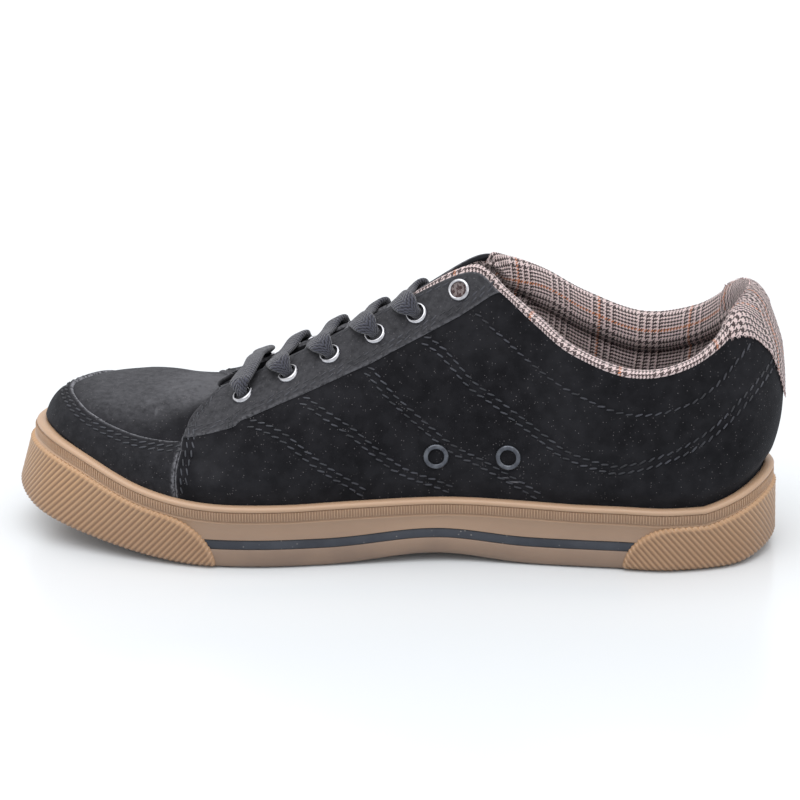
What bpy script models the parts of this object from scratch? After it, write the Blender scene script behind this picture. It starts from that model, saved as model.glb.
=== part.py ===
"""A skateboarding shoe for the right foot: cup sole, hollow suede upper, overlays, tongue, eyelets, laces.

The toe points to -X, the inner (medial) side to -Y, and the shoe stands on the plane z = 0.
Every curved piece is worked out from two functions: the outline of the sole, and the ribs of the
upper, which run from the sole's rim up to the edge of the throat and collar.
"""
import math
from collections import namedtuple

import bmesh
import bpy
from mathutils import Matrix, Vector

# Driving sizes, in metres
SOLE_LENGTH = 0.295
BALL_WIDTH = 0.107
SIDEWALL_HEIGHT = 0.0245
TOE_RIM_RISE = 0.0195
HEEL_RIM_RISE = 0.0085
TOE_SPRING = 0.016
ARCH_LIFT = 0.003
HEEL_BEVEL = 0.003
SIDE_LEAN = 0.0008
TOE_LEAN = 0.0075
EDGE_BEVEL = 0.0026
RIM_WALL = 0.0030
FOOTBED_THICKNESS = 0.0120
BAND_HEIGHT = 0.0072
BAND_STEP = 0.0006
STRIPE_LOW = 0.0074
STRIPE_HEIGHT = 0.0038
STRIPE_DEPTH = 0.0012
TREAD_DEPTH = 0.0016
TREAD_WIDTH = 0.0030
BUMPER_THICKNESS = 0.0012
RIB_PITCH = 0.0100
RIB_DEPTH = 0.0005
RIB_SLANT = 0.85
BUMPER_ROUND = 0.0016
BUMPER_END = 0.020
UPPER_HEIGHT = 0.084
UPPER_WALL = 0.0020
QUARTER_STEP = 0.0012
OVERLAY_WALL = 0.0012
INSOLE_THICKNESS = 0.0048
TONGUE_WALL = 0.0042
TONGUE_CROWN = 0.0020
TONGUE_GAP = 0.0010
TONGUE_TUCK = 0.014
TONGUE_SINK = 0.0024
COLLAR_ROLL = 0.0088
COLLAR_LIP = 0.0040
COLLAR_DEPTH = 0.030
TAB_DEPTH = 0.037
TAB_RISE = 0.0092
EYELET_RADIUS = 0.0043
EYELET_HOLE = 0.0027
EYELET_HEIGHT = 0.0011
EYELET_INSET = 0.0100
EYELET_SIDES = 8
WALL_OF_EYELET = 0.0005
VENT_RADIUS = 0.0048
VENT_HOLE = 0.0026
LACE_WIDTH = 0.0080
LACE_THICKNESS = 0.0022
LACE_REACH = 0.50
LACE_MIDDLE = -0.25
CLEARANCE = 0.0003
OVERLAY_GAP = 0.0007
BUMPER_GAP = 0.0005
SEAT_GAP = 0.0005
SEAM_LIFT = 0.0004

# The ribs, from the heel along the inner side to the toe. Lengths are shares: "along" of the sole's
# length, from the heel; "medial", "lateral", "edge_half", "flare" and "reach" of the ball's width;
# "edge_height", "lift" (of the lateral edge alone), "rise" and "drop" of the upper's height.
Rib = namedtuple("Rib", "along medial lateral edge_along edge_half edge_height lift rise flare reach drop")
RIBS = (
    Rib(0.000, 0.000, 0.000, 0.009, 0.000, 0.840, 0.000, 0.24, 0.085, 0.030, 0.30),
    Rib(0.035, 0.235, 0.240, 0.039, 0.159, 0.780, 0.020, 0.24, 0.060, 0.030, 0.30),
    Rib(0.120, 0.345, 0.355, 0.110, 0.257, 0.645, 0.045, 0.22, 0.030, 0.035, 0.25),
    Rib(0.200, 0.350, 0.375, 0.181, 0.285, 0.600, 0.045, 0.22, 0.020, 0.020, 0.22),
    Rib(0.270, 0.348, 0.390, 0.256, 0.266, 0.688, 0.055, 0.25, 0.010, 0.020, 0.25),
    Rib(0.330, 0.342, 0.405, 0.307, 0.227, 0.815, 0.040, 0.35, 0.010, 0.030, 0.30),
    Rib(0.390, 0.340, 0.430, 0.351, 0.182, 0.935, 0.000, 0.38, 0.000, 0.060, 0.28),
    Rib(0.440, 0.355, 0.455, 0.393, 0.130, 1.000, -0.030, 0.42, 0.000, 0.110, 0.25),
    Rib(0.530, 0.412, 0.500, 0.486, 0.105, 0.820, -0.030, 0.40, 0.000, 0.135, 0.10),
    Rib(0.650, 0.485, 0.515, 0.605, 0.118, 0.590, -0.020, 0.30, 0.000, 0.155, 0.05),
    Rib(0.750, 0.485, 0.478, 0.703, 0.105, 0.430, -0.010, 0.20, 0.000, 0.185, 0.07),
    Rib(0.875, 0.405, 0.365, 0.722, 0.070, 0.428, 0.000, 0.15, -0.020, 0.290, 0.08),
    Rib(0.960, 0.295, 0.225, 0.730, 0.035, 0.428, 0.000, 0.15, -0.050, 0.370, 0.03),
    Rib(1.000, 0.050, -0.050, 0.732, 0.000, 0.430, 0.000, 0.17, -0.055, 0.410, 0.012),
)
TOE = len(RIBS) - 1
AROUND = 2 * TOE
SEAM = 10.2
THROAT = 10
APEX = 7
PER_RIB = 3
PER_SIDE_RIB = 2
SEAM_SPLIT = 0.02

# Heights of the upper's mesh rows, as shares of a rib
ROWS = (0.0, 0.16, 0.33, 0.50, 0.67, 0.84, 1.0)

# Lower edge of the eyestay and upper edge of the toe guard: (rib, share of the rib)
EYESTAY_EDGE = ((6.05, 0.955), (6.5, 0.88), (7.0, 0.775), (7.5, 0.685), (8.0, 0.605), (9.0, 0.57),
                (9.6, 0.50), (10.2, 0.47))
# Front edge of the eyestay: (share of its height, rib)
EYESTAY_FRONT = ((0.0, 10.17), (0.25, 10.37), (0.5, 10.58), (0.75, 10.80), (1.0, 11.0))
GUARD_EDGE = ((10.0, 0.43), (11.0, 0.37), (12.0, 0.32), (13.0, 0.36))

# Eyelets: (rib along the throat, share of the inset from the throat's edge)
EYELETS = ((9.62, 1.45), (9.10, 1.28), (8.66, 1.15), (8.20, 1.10), (7.72, 0.95), (7.14, 0.70))
# Where a crossing starts, passes the middle and passes the far edge, as shares of an eyelet pitch
LACE_STEPS = (0.17, 0.43, 0.70)
# Vents of the inner side: (rib, share of the rib)
VENTS = ((6.85, 0.155), (5.15, 0.20))

# Section of the padded collar's roll: (inwards, share of the roll; down from the edge, share of the lip)
COLLAR_SECTION = ((0.03, -0.25), (0.12, -0.75), (0.40, -1.00), (0.85, -0.55), (1.02, 0.70), (0.63, 3.2))
# How far the collar's roll has grown: (rib, share); the lip grows towards the heel
COLLAR_GROWTH = ((0.0, 1.0), (5.0, 1.0), (6.0, 0.8), (6.7, 0.4))
COLLAR_END = 6.7
# Depth of the heel tab's outer face: (ribs from the back, share of its depth)
TAB_EDGE = ((0.0, 1.0), (0.14, 0.90), (0.333, 0.45), (0.667, 0.28), (0.9, 0.16))
TAB_STEPS = (1.0, 0.6, 0.3, 0.0)
# Section of the heel tab over the roll: (inwards, up), shares of the tab's rise
TAB_SECTION = ((-0.12, 0.30), (0.10, 0.72), (0.52, 0.98), (1.05, 1.00), (1.38, 0.78), (1.25, 0.45),
               (0.70, 0.30), (0.30, 0.30), (0.00, 0.24))


def smooth(t):
    """A soft step from 0 to 1."""
    t = min(1.0, max(0.0, t))
    return t * t * (3.0 - 2.0 * t)


def table(rows, x):
    """Read a table of (place, value) pairs with straight runs between its rows."""
    for (x0, y0), (x1, y1) in zip(rows, rows[1:]):
        if x <= x1:
            return y0 + (y1 - y0) * max(0.0, x - x0) / (x1 - x0)
    return rows[-1][1]


def rib_row(index):
    """One row of the closed table of ribs; past the toe it is the lateral side's mirror row."""
    index %= AROUND
    if index <= TOE:
        return RIBS[index], -1.0, RIBS[index].medial
    row = RIBS[AROUND - index]
    return row, 1.0, row.lateral


def closed_curve(values, u):
    """A smooth closed curve through the values, one for each rib."""
    i = math.floor(u)
    t = u - i
    p0, p1, p2, p3 = (values[(i + k) % AROUND] for k in (-1, 0, 1, 2))
    return 0.5 * ((2 * p1) + (p2 - p0) * t + (2 * p0 - 5 * p1 + 4 * p2 - p3) * t * t
                  + (3 * p1 - p0 - 3 * p2 + p3) * t ** 3)


def rib_values(pick):
    return [pick(*rib_row(i)) for i in range(AROUND)]


ALONG = rib_values(lambda row, side, half: row.along)
SIDE = rib_values(lambda row, side, half: side * half)
EDGE_ALONG = rib_values(lambda row, side, half: row.edge_along)
EDGE_SIDE = rib_values(lambda row, side, half: side * row.edge_half)
EDGE_HEIGHT = rib_values(lambda row, side, half: row.edge_height + (row.lift if side > 0 else 0.0))
RISE = rib_values(lambda row, side, half: row.rise)
FLARE = rib_values(lambda row, side, half: row.flare)
REACH = rib_values(lambda row, side, half: row.reach)
DROP = rib_values(lambda row, side, half: row.drop)


def outline(u):
    """A point of the sole's outline seen from above, with z = 0."""
    along = closed_curve(ALONG, u)
    return Vector((SOLE_LENGTH * (0.5 - along), BALL_WIDTH * closed_curve(SIDE, u), 0.0))


def outline_normal(u):
    """The outline's outward direction."""
    run = outline(u + 0.02) - outline(u - 0.02)
    return Vector((-run.y, run.x, 0.0)).normalized()


def share_along(u):
    return min(1.0, max(0.0, closed_curve(ALONG, u)))


def bottom_height(along):
    """Height of the sole's underside: heel bevel, flat heel, arch, flat ball and toe spring."""
    bevel = HEEL_BEVEL * max(0.0, 1.0 - along / 0.055) ** 2
    arch = 0.0
    if 0.30 < along < 0.57:
        arch = ARCH_LIFT * math.sin(math.pi * (along - 0.30) / 0.27) ** 2
    spring = TOE_SPRING * (max(0.0, along - 0.72) / 0.28) ** 1.7
    return bevel + arch + spring


def rim_height(along):
    """Height of the cup's rim: level along the sides, higher round the toe and the heel."""
    toe = math.sin(0.5 * math.pi * min(1.0, max(0.0, (along - 0.66) / 0.32)) ** 1.45) ** 2
    heel = max(0.0, 1.0 - along / 0.085) ** 1.2
    arch = math.sin(math.pi * min(1.0, max(0.0, (along - 0.25) / 0.35)))
    return SIDEWALL_HEIGHT + TOE_RIM_RISE * toe + HEEL_RIM_RISE * heel + 0.3 * ARCH_LIFT * arch


def lean(along):
    """How far the wall leans inwards between the underside and the rim."""
    return SIDE_LEAN + TOE_LEAN * smooth((along - 0.80) / 0.20)


def wall_point(u, height, inset):
    """A point of the cup's wall at a height, moved inwards from the wall's outer face."""
    along = share_along(u)
    low, high = bottom_height(along), rim_height(along)
    share = (height - low) / (high - low)
    p = outline(u) - outline_normal(u) * (inset + lean(along) * share)
    p.z = height
    return p


def footbed_height(along):
    return bottom_height(along) + FOOTBED_THICKNESS


def stripe_height(along):
    """Lower edge of the dark stripe."""
    return STRIPE_LOW + 0.8 * bottom_height(along)


def rib_point(u, v):
    """A point of the upper's outer face, from the rim (v = 0) to the throat or collar (v = 1)."""
    along = share_along(u)
    outward = outline_normal(u)
    start = wall_point(u, rim_height(along) + CLEARANCE, RIM_WALL + 2 * CLEARANCE)
    end = Vector((SOLE_LENGTH * (0.5 - closed_curve(EDGE_ALONG, u)),
                  BALL_WIDTH * closed_curve(EDGE_SIDE, u),
                  SIDEWALL_HEIGHT + UPPER_HEIGHT * closed_curve(EDGE_HEIGHT, u)))
    low = start + outward * BALL_WIDTH * closed_curve(FLARE, u)
    low.z += UPPER_HEIGHT * closed_curve(RISE, u)
    high = end + outward * BALL_WIDTH * closed_curve(REACH, u)
    high.z -= UPPER_HEIGHT * closed_curve(DROP, u)
    w = 1.0 - v
    return start * w ** 3 + low * 3 * w * w * v + high * 3 * w * v * v + end * v ** 3


def rib_normal(u, v):
    """Outward direction of the upper's face."""
    du = rib_point(u + 0.03, v) - rib_point(u - 0.03, v)
    lo, hi = max(0.0, v - 0.02), min(1.0, v + 0.02)
    dv = rib_point(u, hi) - rib_point(u, lo)
    return du.cross(dv).normalized() * -1.0


def quarter_share(u):
    """1 on the quarters, behind the seam on each side, and 0 on the vamp."""
    place = u % AROUND
    place = min(place, AROUND - place)
    return smooth((SEAM + SEAM_SPLIT - place) / (2 * SEAM_SPLIT))


def upper_point(u, v, offset=0.0):
    """The upper's outer face with the quarters' step, moved out by an offset."""
    lift = QUARTER_STEP * quarter_share(u) * smooth(v / 0.12)
    return rib_point(u, v) + rib_normal(u, v) * (offset + lift)


def below_edge(u, depth):
    """The rib share that lies a depth below the throat or collar edge, along the rib."""
    v, run = 1.0, 0.0
    step = 0.02
    here = rib_point(u, v)
    while run < depth and v > step:
        v -= step
        there = rib_point(u, v)
        run += (there - here).length
        here = there
    return v


def mirrored(u):
    """The place on the medial side that faces a place on either side."""
    u %= AROUND
    return min(u, AROUND - u)


def stations(first, last):
    """Rib numbers of the mesh columns between two places, with a close pair at each front seam."""
    places = [first, last]
    for i in range(math.floor(first), math.ceil(last)):
        count = PER_SIDE_RIB if 3 < mirrored(i + 0.5) < 9 else PER_RIB
        places += [i + k / count for k in range(count) if mirrored(i + k / count) != SEAM]
    places += [seam + split for seam in (SEAM, AROUND - SEAM) for split in (-SEAM_SPLIT, SEAM_SPLIT)]
    return sorted(set(u for u in places if first <= u <= last))


RING = stations(0, AROUND)[:-1]


def material(name, color, roughness, metallic=0.0):
    made = bpy.data.materials.new(name)
    made.use_nodes = True
    shader = made.node_tree.nodes["Principled BSDF"]
    shader.inputs["Base Color"].default_value = (*color, 1.0)
    shader.inputs["Roughness"].default_value = roughness
    shader.inputs["Metallic"].default_value = metallic
    return made


def new_object(name, mesh, finish, collection):
    obj = bpy.data.objects.new(name, mesh)
    obj.data.materials.append(finish)
    collection.objects.link(obj)
    mesh.shade_smooth()
    mesh.set_sharp_from_angle(angle=math.radians(35))
    return obj


def grid_mesh(name, rows, close_rows=False, close_columns=False, caps=None):
    """A mesh from rows of points, faced to row direction x column direction.

    Rows and columns can close on themselves. caps is "ends" for flat faces over the first and last
    row, or "ladder" for rungs across them. A closed mesh is turned so that its faces point out.
    """
    bm = bmesh.new()
    grid = [[bm.verts.new(p) for p in row] for row in rows]
    count = len(grid[0])
    for i in range(len(grid) if close_rows else len(grid) - 1):
        a, b = grid[i], grid[(i + 1) % len(grid)]
        for k in range(count if close_columns else count - 1):
            n = (k + 1) % count
            bm.faces.new((a[k], b[k], b[n], a[n]))
    if caps == "ends":
        bm.faces.new(grid[0])
        bm.faces.new(list(reversed(grid[-1])))
    if caps == "ladder":
        for face in ladder(grid[0]):
            bm.faces.new(face)
        for face in ladder(grid[-1]):
            bm.faces.new(list(reversed(face)))
    bm.normal_update()
    if (caps or close_rows) and bm.calc_volume(signed=True) < 0.0:
        bmesh.ops.reverse_faces(bm, faces=bm.faces)
    mesh = bpy.data.meshes.new(name)
    bm.to_mesh(mesh)
    bm.free()
    return mesh


def ladder(ring):
    """Faces across a ring whose first vertex is at the heel, one rung for each pair of sides."""
    count = len(ring)
    faces = [(ring[0], ring[1], ring[-1])]
    half = count // 2
    for k in range(1, half - 1):
        faces.append((ring[k], ring[k + 1], ring[count - k - 1], ring[count - k]))
    faces.append((ring[half - 1], ring[half], ring[half + 1]))
    return faces


def solidify(obj, thickness):
    """Give an open surface its wall, inwards from the modelled face."""
    wall = obj.modifiers.new("wall", "SOLIDIFY")
    wall.thickness = thickness
    wall.offset = -1.0
    wall.use_even_offset = True


def cut(obj, cutter):
    hole = obj.modifiers.new("cut", "BOOLEAN")
    hole.operation = "DIFFERENCE"
    hole.solver = "EXACT"
    hole.object = cutter


def add_cutter(name, mesh, matrix, collection):
    mesh.transform(matrix)
    cutter = bpy.data.objects.new(name, mesh)
    cutter.hide_render = True
    cutter.display_type = "WIRE"
    collection.objects.link(cutter)
    return cutter


def facing(direction):
    """A turn that takes +Z to a direction."""
    return Vector((0.0, 0.0, 1.0)).rotation_difference(direction).to_matrix().to_4x4()


def join_meshes(name, pieces):
    bm = bmesh.new()
    for mesh in pieces:
        bm.from_mesh(mesh)
    joined = bpy.data.meshes.new(name)
    bm.to_mesh(joined)
    bm.free()
    return joined


def make_sole(parts, cutters, gum):
    """The cup sole: bevelled edge, groove of the stripe, wall, stepped band, rim and foot bed."""
    def ring(height, inset):
        return [wall_point(u, height(share_along(u)), inset) for u in RING]

    def top_of_groove(a):
        return stripe_height(a) + STRIPE_HEIGHT

    def band_line(a):
        return rim_height(a) - BAND_HEIGHT

    rows = [
        ring(bottom_height, EDGE_BEVEL),
        ring(lambda a: bottom_height(a) + EDGE_BEVEL, 0.0),
        ring(stripe_height, 0.0),
        ring(stripe_height, STRIPE_DEPTH),
        ring(top_of_groove, STRIPE_DEPTH),
        ring(top_of_groove, 0.0),
        ring(band_line, 0.0),
        ring(lambda a: band_line(a) + BAND_STEP, -BAND_STEP),
        ring(lambda a: rim_height(a) - BAND_STEP, -BAND_STEP),
        ring(rim_height, BAND_STEP),
        ring(rim_height, RIM_WALL),
        ring(footbed_height, RIM_WALL),
    ]
    sole = new_object("sole", grid_mesh("sole", rows, close_columns=True, caps="ladder"), gum, parts)
    boxes = []
    for first, last, count in ((0.08, 0.27, 4), (0.58, 0.80, 5)):
        for k in range(count):
            along = first + (last - first) * k / (count - 1)
            boxes.append(tread_groove(along))
    cut(sole, add_cutter("tread_grooves", join_meshes("tread_grooves", boxes), Matrix(), cutters))
    return sole


def tread_groove(along):
    """A box for one cross groove of the tread, shorter than the sole is wide."""
    medial = next(u / 20 for u in range(20 * TOE) if closed_curve(ALONG, u / 20) >= along)
    low, high = outline(medial).y, outline(AROUND - medial).y
    margin = 0.11 * BALL_WIDTH
    mesh = bpy.data.meshes.new("groove")
    bm = bmesh.new()
    size = (TREAD_WIDTH, high - low - 2 * margin, 2 * TREAD_DEPTH)
    bmesh.ops.create_cube(bm, size=1.0, matrix=Matrix.Diagonal((*size, 1.0)))
    bm.to_mesh(mesh)
    bm.free()
    place = (SOLE_LENGTH * (0.5 - along), 0.5 * (low + high), bottom_height(along))
    mesh.transform(Matrix.Translation(place))
    return mesh


def make_stripe(parts, ink):
    """The dark stripe, a band laid in the groove of the sole's wall."""
    gap = CLEARANCE
    low, high = (lambda a: stripe_height(a) + gap), (lambda a: stripe_height(a) + STRIPE_HEIGHT - gap)
    rows = [[wall_point(u, h(share_along(u)), inset) for u in RING]
            for h, inset in ((low, STRIPE_DEPTH - gap), (low, 0.0), (high, 0.0), (high, STRIPE_DEPTH - gap))]
    mesh = grid_mesh("side_stripe", rows, close_rows=True, close_columns=True)
    return new_object("side_stripe", mesh, ink, parts)


def arc_table(first, last, steps=400):
    """Places along a stretch of the outline with their running length."""
    places = [first + (last - first) * k / steps for k in range(steps + 1)]
    lengths = [0.0]
    for a, b in zip(places, places[1:]):
        lengths.append(lengths[-1] + (outline(b) - outline(a)).length)
    return list(zip(lengths, places))


def make_bumper(name, first, last, end_run, slant, parts, gum):
    """A ribbed bumper laid on the wall between two places, with rounded ends and slanted ribs."""
    arc = arc_table(first, last)
    total = arc[-1][0]

    def top(run):
        along = share_along(table(arc, run))
        full = rim_height(along) - BAND_HEIGHT - CLEARANCE - bottom_height(along)
        near = min(run, total - run) / end_run
        return full * math.sqrt(max(0.0, 1.0 - (1.0 - min(1.0, near)) ** 2))

    def column(k):
        """The part of one slanted line that lies on the bumper: its two ends (run, height)."""
        start = -0.03 + k * 0.5 * RIB_PITCH
        inside = []
        for j in range(60):
            height = j * 0.0006
            run = start + slant * height + (0.03 if slant < 0 else 0.0)
            if 0.0 < run < total and height <= top(run):
                inside.append((run, height))
        return (inside[0], inside[-1]) if len(inside) > 3 else None

    def point(run, rise, out):
        """A point over the wall: rise from the underside, out from the wall's bevelled face."""
        u = table(arc, run)
        bevel = EDGE_BEVEL * max(0.0, 1.0 - rise / EDGE_BEVEL)
        return wall_point(u, bottom_height(share_along(u)) + rise, bevel - BUMPER_GAP - out)

    columns = [c for c in (column(k) for k in range(int((total + 0.06) / (0.5 * RIB_PITCH)))) if c]
    rows = []
    for k, ((run0, z0), (run1, z1)) in enumerate(columns):
        crest = BUMPER_THICKNESS - (RIB_DEPTH if k % 2 else 0.0)
        knee = min(0.7, max(0.05, (EDGE_BEVEL - z0) / (z1 - z0)))
        third = (1.0 - knee) / 3
        shoulder = max(knee + 2.4 * third, 1.0 - BUMPER_ROUND / (z1 - z0))
        section = ((0.0, 0.4 * crest), (knee, crest), (knee + third, crest), (knee + 2 * third, crest),
                   (shoulder, crest), (1.0, 0.4 * crest), (1.0, 0.0), (knee + 2 * third, 0.0),
                   (knee + third, 0.0), (knee, 0.0), (0.0, 0.0))
        rows.append([point(run0 + (run1 - run0) * share, z0 + (z1 - z0) * share, out)
                     for share, out in section])
    mesh = grid_mesh(name, rows, close_columns=True, caps="ends")
    return new_object(name, mesh, gum, parts)


def make_insole(parts, foam):
    """The foot bed that lies in the cup, inside the upper's lower edge."""
    def ring(rise):
        points = []
        for u in RING:
            inset = RIM_WALL + UPPER_WALL + 4 * CLEARANCE
            points.append(wall_point(u, footbed_height(share_along(u)) + rise, inset))
        return points
    rows = [ring(CLEARANCE), ring(CLEARANCE + INSOLE_THICKNESS)]
    mesh = grid_mesh("insole", rows, close_columns=True, caps="ladder")
    return new_object("insole", mesh, foam, parts)


def make_upper(parts, suede):
    """The hollow upper: one wall from the cup's foot bed to the throat and the collar."""
    rows = [[wall_point(u, footbed_height(share_along(u)) + CLEARANCE, RIM_WALL + 2 * CLEARANCE)
             for u in RING]]
    rows += [[upper_point(u, v) for u in RING] for v in ROWS]
    upper = new_object("upper", grid_mesh("upper", rows, close_columns=True), suede, parts)
    solidify(upper, UPPER_WALL)
    return upper


def patch(name, places, low, high, steps, parts, finish, front=None):
    """An overlay cut from the upper's own surface, between two edges given for each place.

    front, if given, says for a share of the height and a place where that place's point lies.
    """
    rows = []
    for k in range(steps + 1):
        share = k / steps
        row = []
        for u in places:
            place = u if front is None else front(share, u)
            lift = SEAM_LIFT * min(1.0, 8 * abs(place - u))
            v = low(place) + (high(place) - low(place)) * share
            row.append(upper_point(place, v, OVERLAY_GAP + OVERLAY_WALL + lift))
        rows.append(row)
    obj = new_object(name, grid_mesh(name, rows), finish, parts)
    solidify(obj, OVERLAY_WALL)
    return obj


def make_toe_guard(parts, suede):
    places = stations(SEAM + 2 * SEAM_SPLIT, AROUND - SEAM - 2 * SEAM_SPLIT)
    return patch("toe_guard", places, lambda u: 0.05, lambda u: table(GUARD_EDGE, mirrored(u)), 4,
                 parts, suede)


def make_eyestay(name, side, parts, suede):
    first, last = EYESTAY_EDGE[0][0], SEAM - 1.5 * SEAM_SPLIT
    places = stations(first, last)
    if side > 0:
        places = [AROUND - u for u in reversed(places)]

    def front(share, u):
        """Lean the last ribs forwards, so that the front edge slants up to the throat."""
        place = mirrored(u)
        place += (table(EYESTAY_FRONT, share) - last) * max(0.0, (place - THROAT + 1) / (last - THROAT + 1)) ** 2
        return place if side < 0 else AROUND - place
    return patch(name, places, lambda u: table(EYESTAY_EDGE, mirrored(u)), lambda u: 1.0, 4, parts, suede,
                 front)


def make_tongue(parts, suede):
    """The tongue under the throat: it follows the upper's inner face and bridges the gap."""
    shares = (0.72, 0.86, 1.0)
    rows = []
    for k in range(9):
        u = THROAT - 0.15 + (APEX + 0.30 - THROAT + 0.15) * k / 8
        depth = UPPER_WALL + TONGUE_GAP + TONGUE_SINK * smooth((u - THROAT + 0.8) / 0.65)
        near = [upper_point(u, v, -depth) for v in shares]
        far = [upper_point(AROUND - u, v, -depth) for v in shares]
        crown = Vector((0.0, 0.0, TONGUE_CROWN))
        bridge = [near[-1].lerp(far[-1], t) + crown * math.sin(math.pi * t) for t in (0.33, 0.67)]
        rows.append(near + bridge + list(reversed(far)))
    rows.insert(0, [Vector((p.x - TONGUE_TUCK, 0.6 * p.y, p.z - 0.32 * TONGUE_TUCK)) for p in rows[0]])
    tongue = new_object("tongue", grid_mesh("tongue", rows), suede, parts)
    solidify(tongue, TONGUE_WALL)
    return tongue


def make_collar(parts, tweed):
    """The padded collar lining: a roll over the collar's edge, then a flat lining inside the upper."""
    rows = []
    for u in stations(-COLLAR_END, COLLAR_END):
        growth = table(COLLAR_GROWTH, abs(u))
        edge, outward = upper_point(u, 1.0), rib_normal(u, 0.97)
        down = (upper_point(u, 0.94) - edge).normalized()
        wall = UPPER_WALL + 3 * CLEARANCE
        row = []
        for inwards, depth in COLLAR_SECTION:
            lip = COLLAR_LIP * growth * depth
            if lip <= 0.0:
                row.append(edge - outward * COLLAR_ROLL * growth * inwards + down * (lip - CLEARANCE))
            else:
                row.append(upper_point(u, below_edge(u, lip), -wall - COLLAR_ROLL * growth * inwards * 0.8))
        deep = below_edge(u, COLLAR_DEPTH)
        row.append(upper_point(u, deep, -wall - 0.35 * COLLAR_ROLL * growth))
        for share in (1.0, 0.5):
            row.append(upper_point(u, below_edge(u, COLLAR_DEPTH * share), -wall))
        row.append(edge - outward * wall - down * CLEARANCE)
        rows.append(row)
    mesh = grid_mesh("collar_lining", rows, close_columns=True, caps="ends")
    return new_object("collar_lining", mesh, tweed, parts)


def add_heel_tab(collar, cutters):
    """The tab that wraps the back: a tongue of cloth down the heel and a pad sewn to the collar's roll."""
    rows = []
    half = [place for place, share in TAB_EDGE]
    for u in [-place for place in reversed(half[1:])] + half:
        depth = TAB_DEPTH * table(TAB_EDGE, abs(u))
        edge, outward = upper_point(u, 1.0), rib_normal(u, 0.97)
        outward = Vector((outward.x, outward.y, 0.0)).normalized()
        row = []
        for share in TAB_STEPS:
            row.append(upper_point(u, below_edge(u, depth * share), OVERLAY_GAP + OVERLAY_WALL))
        for inwards, up in TAB_SECTION:
            row.append(edge - outward * TAB_RISE * inwards + Vector((0.0, 0.0, TAB_RISE * up)))
        for share in reversed(TAB_STEPS):
            row.append(upper_point(u, below_edge(u, depth * share), OVERLAY_GAP))
        rows.append(row)
    mesh = grid_mesh("heel_tab", rows, close_columns=True, caps="ends")
    join = collar.modifiers.new("join", "BOOLEAN")
    join.operation = "UNION"
    join.solver = "EXACT"
    join.object = add_cutter("heel_tab", mesh, Matrix(), cutters)


def turned_ring(name, radius, hole, height, place, direction, barrel, parts, metal):
    """An eyelet: a turned ring with a barrel through the wall under it."""
    profile = ((hole, -barrel), (hole, height), (radius, height * 0.5), (radius, 0.0),
               (hole + WALL_OF_EYELET, 0.0), (hole + WALL_OF_EYELET, -barrel))
    rows = []
    for k in range(EYELET_SIDES):
        angle = 2 * math.pi * k / EYELET_SIDES
        rows.append([Vector((r * math.cos(angle), r * math.sin(angle), z)) for r, z in profile])
    mesh = grid_mesh(name, rows, close_rows=True, close_columns=True)
    mesh.transform(Matrix.Translation(place) @ facing(direction))
    return new_object(name, mesh, metal, parts)


def hole_cutter(name, radius, depth, place, direction):
    """The mesh of a round cutter along an eyelet's axis."""
    bm = bmesh.new()
    bmesh.ops.create_cone(bm, cap_ends=True, segments=EYELET_SIDES, radius1=radius, radius2=radius,
                          depth=2 * depth)
    mesh = bpy.data.meshes.new(name)
    bm.to_mesh(mesh)
    bm.free()
    mesh.transform(Matrix.Translation(place) @ facing(direction))
    return mesh


def eyelet_frame(u, share):
    """Place and direction of a lace eyelet's seat on the eyestay."""
    v = below_edge(u, EYELET_INSET * share)
    return upper_point(u, v, OVERLAY_GAP + OVERLAY_WALL + SEAT_GAP), rib_normal(u, v)


def make_eyelets(parts, cutters, metal, dark_metal, upper, eyestays):
    """Six eyelets on each side of the throat and two vents, with their holes."""
    reach = 3 * (UPPER_WALL + OVERLAY_WALL)
    hole = EYELET_HOLE + WALL_OF_EYELET + CLEARANCE
    for side, eyestay in zip(("medial", "lateral"), eyestays):
        punches = []
        for number, (rib, share) in enumerate(EYELETS, start=1):
            u = rib if side == "medial" else AROUND - rib
            place, direction = eyelet_frame(u, share)
            turned_ring("eyelet_%s_%d" % (side, number), EYELET_RADIUS, EYELET_HOLE, EYELET_HEIGHT,
                        place, direction, OVERLAY_WALL + UPPER_WALL, parts, metal)
            punches.append(hole_cutter("punch", hole, reach, place, direction))
        punch = add_cutter("punches_" + side, join_meshes("punches_" + side, punches), Matrix(), cutters)
        cut(eyestay, punch)
        cut(upper, punch)
    punches = []
    for number, (u, v) in enumerate(VENTS, start=1):
        place, direction = upper_point(u, v, SEAT_GAP), rib_normal(u, v)
        turned_ring("vent_%d" % number, VENT_RADIUS, VENT_HOLE, EYELET_HEIGHT, place, direction, UPPER_WALL,
                    parts, dark_metal)
        punches.append(hole_cutter("punch", VENT_HOLE + WALL_OF_EYELET + CLEARANCE, reach, place, direction))
    cut(upper, add_cutter("punches_vents", join_meshes("punches_vents", punches), Matrix(), cutters))


def tongue_point(u, across, lift):
    """A point over the tongue: across runs from -1 at the medial throat edge to 1 at the lateral one."""
    near = upper_point(u, 1.0, -UPPER_WALL - 2 * CLEARANCE)
    far = upper_point(AROUND - u, 1.0, -UPPER_WALL - 2 * CLEARANCE)
    share = 0.5 * (across + 1.0)
    up = (rib_normal(u, 1.0) + rib_normal(AROUND - u, 1.0)).normalized()
    crown = TONGUE_CROWN * math.sin(math.pi * min(1.0, max(0.0, share)))
    return near.lerp(far, share) + Vector((0.0, 0.0, crown)) + up * lift, up


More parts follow.
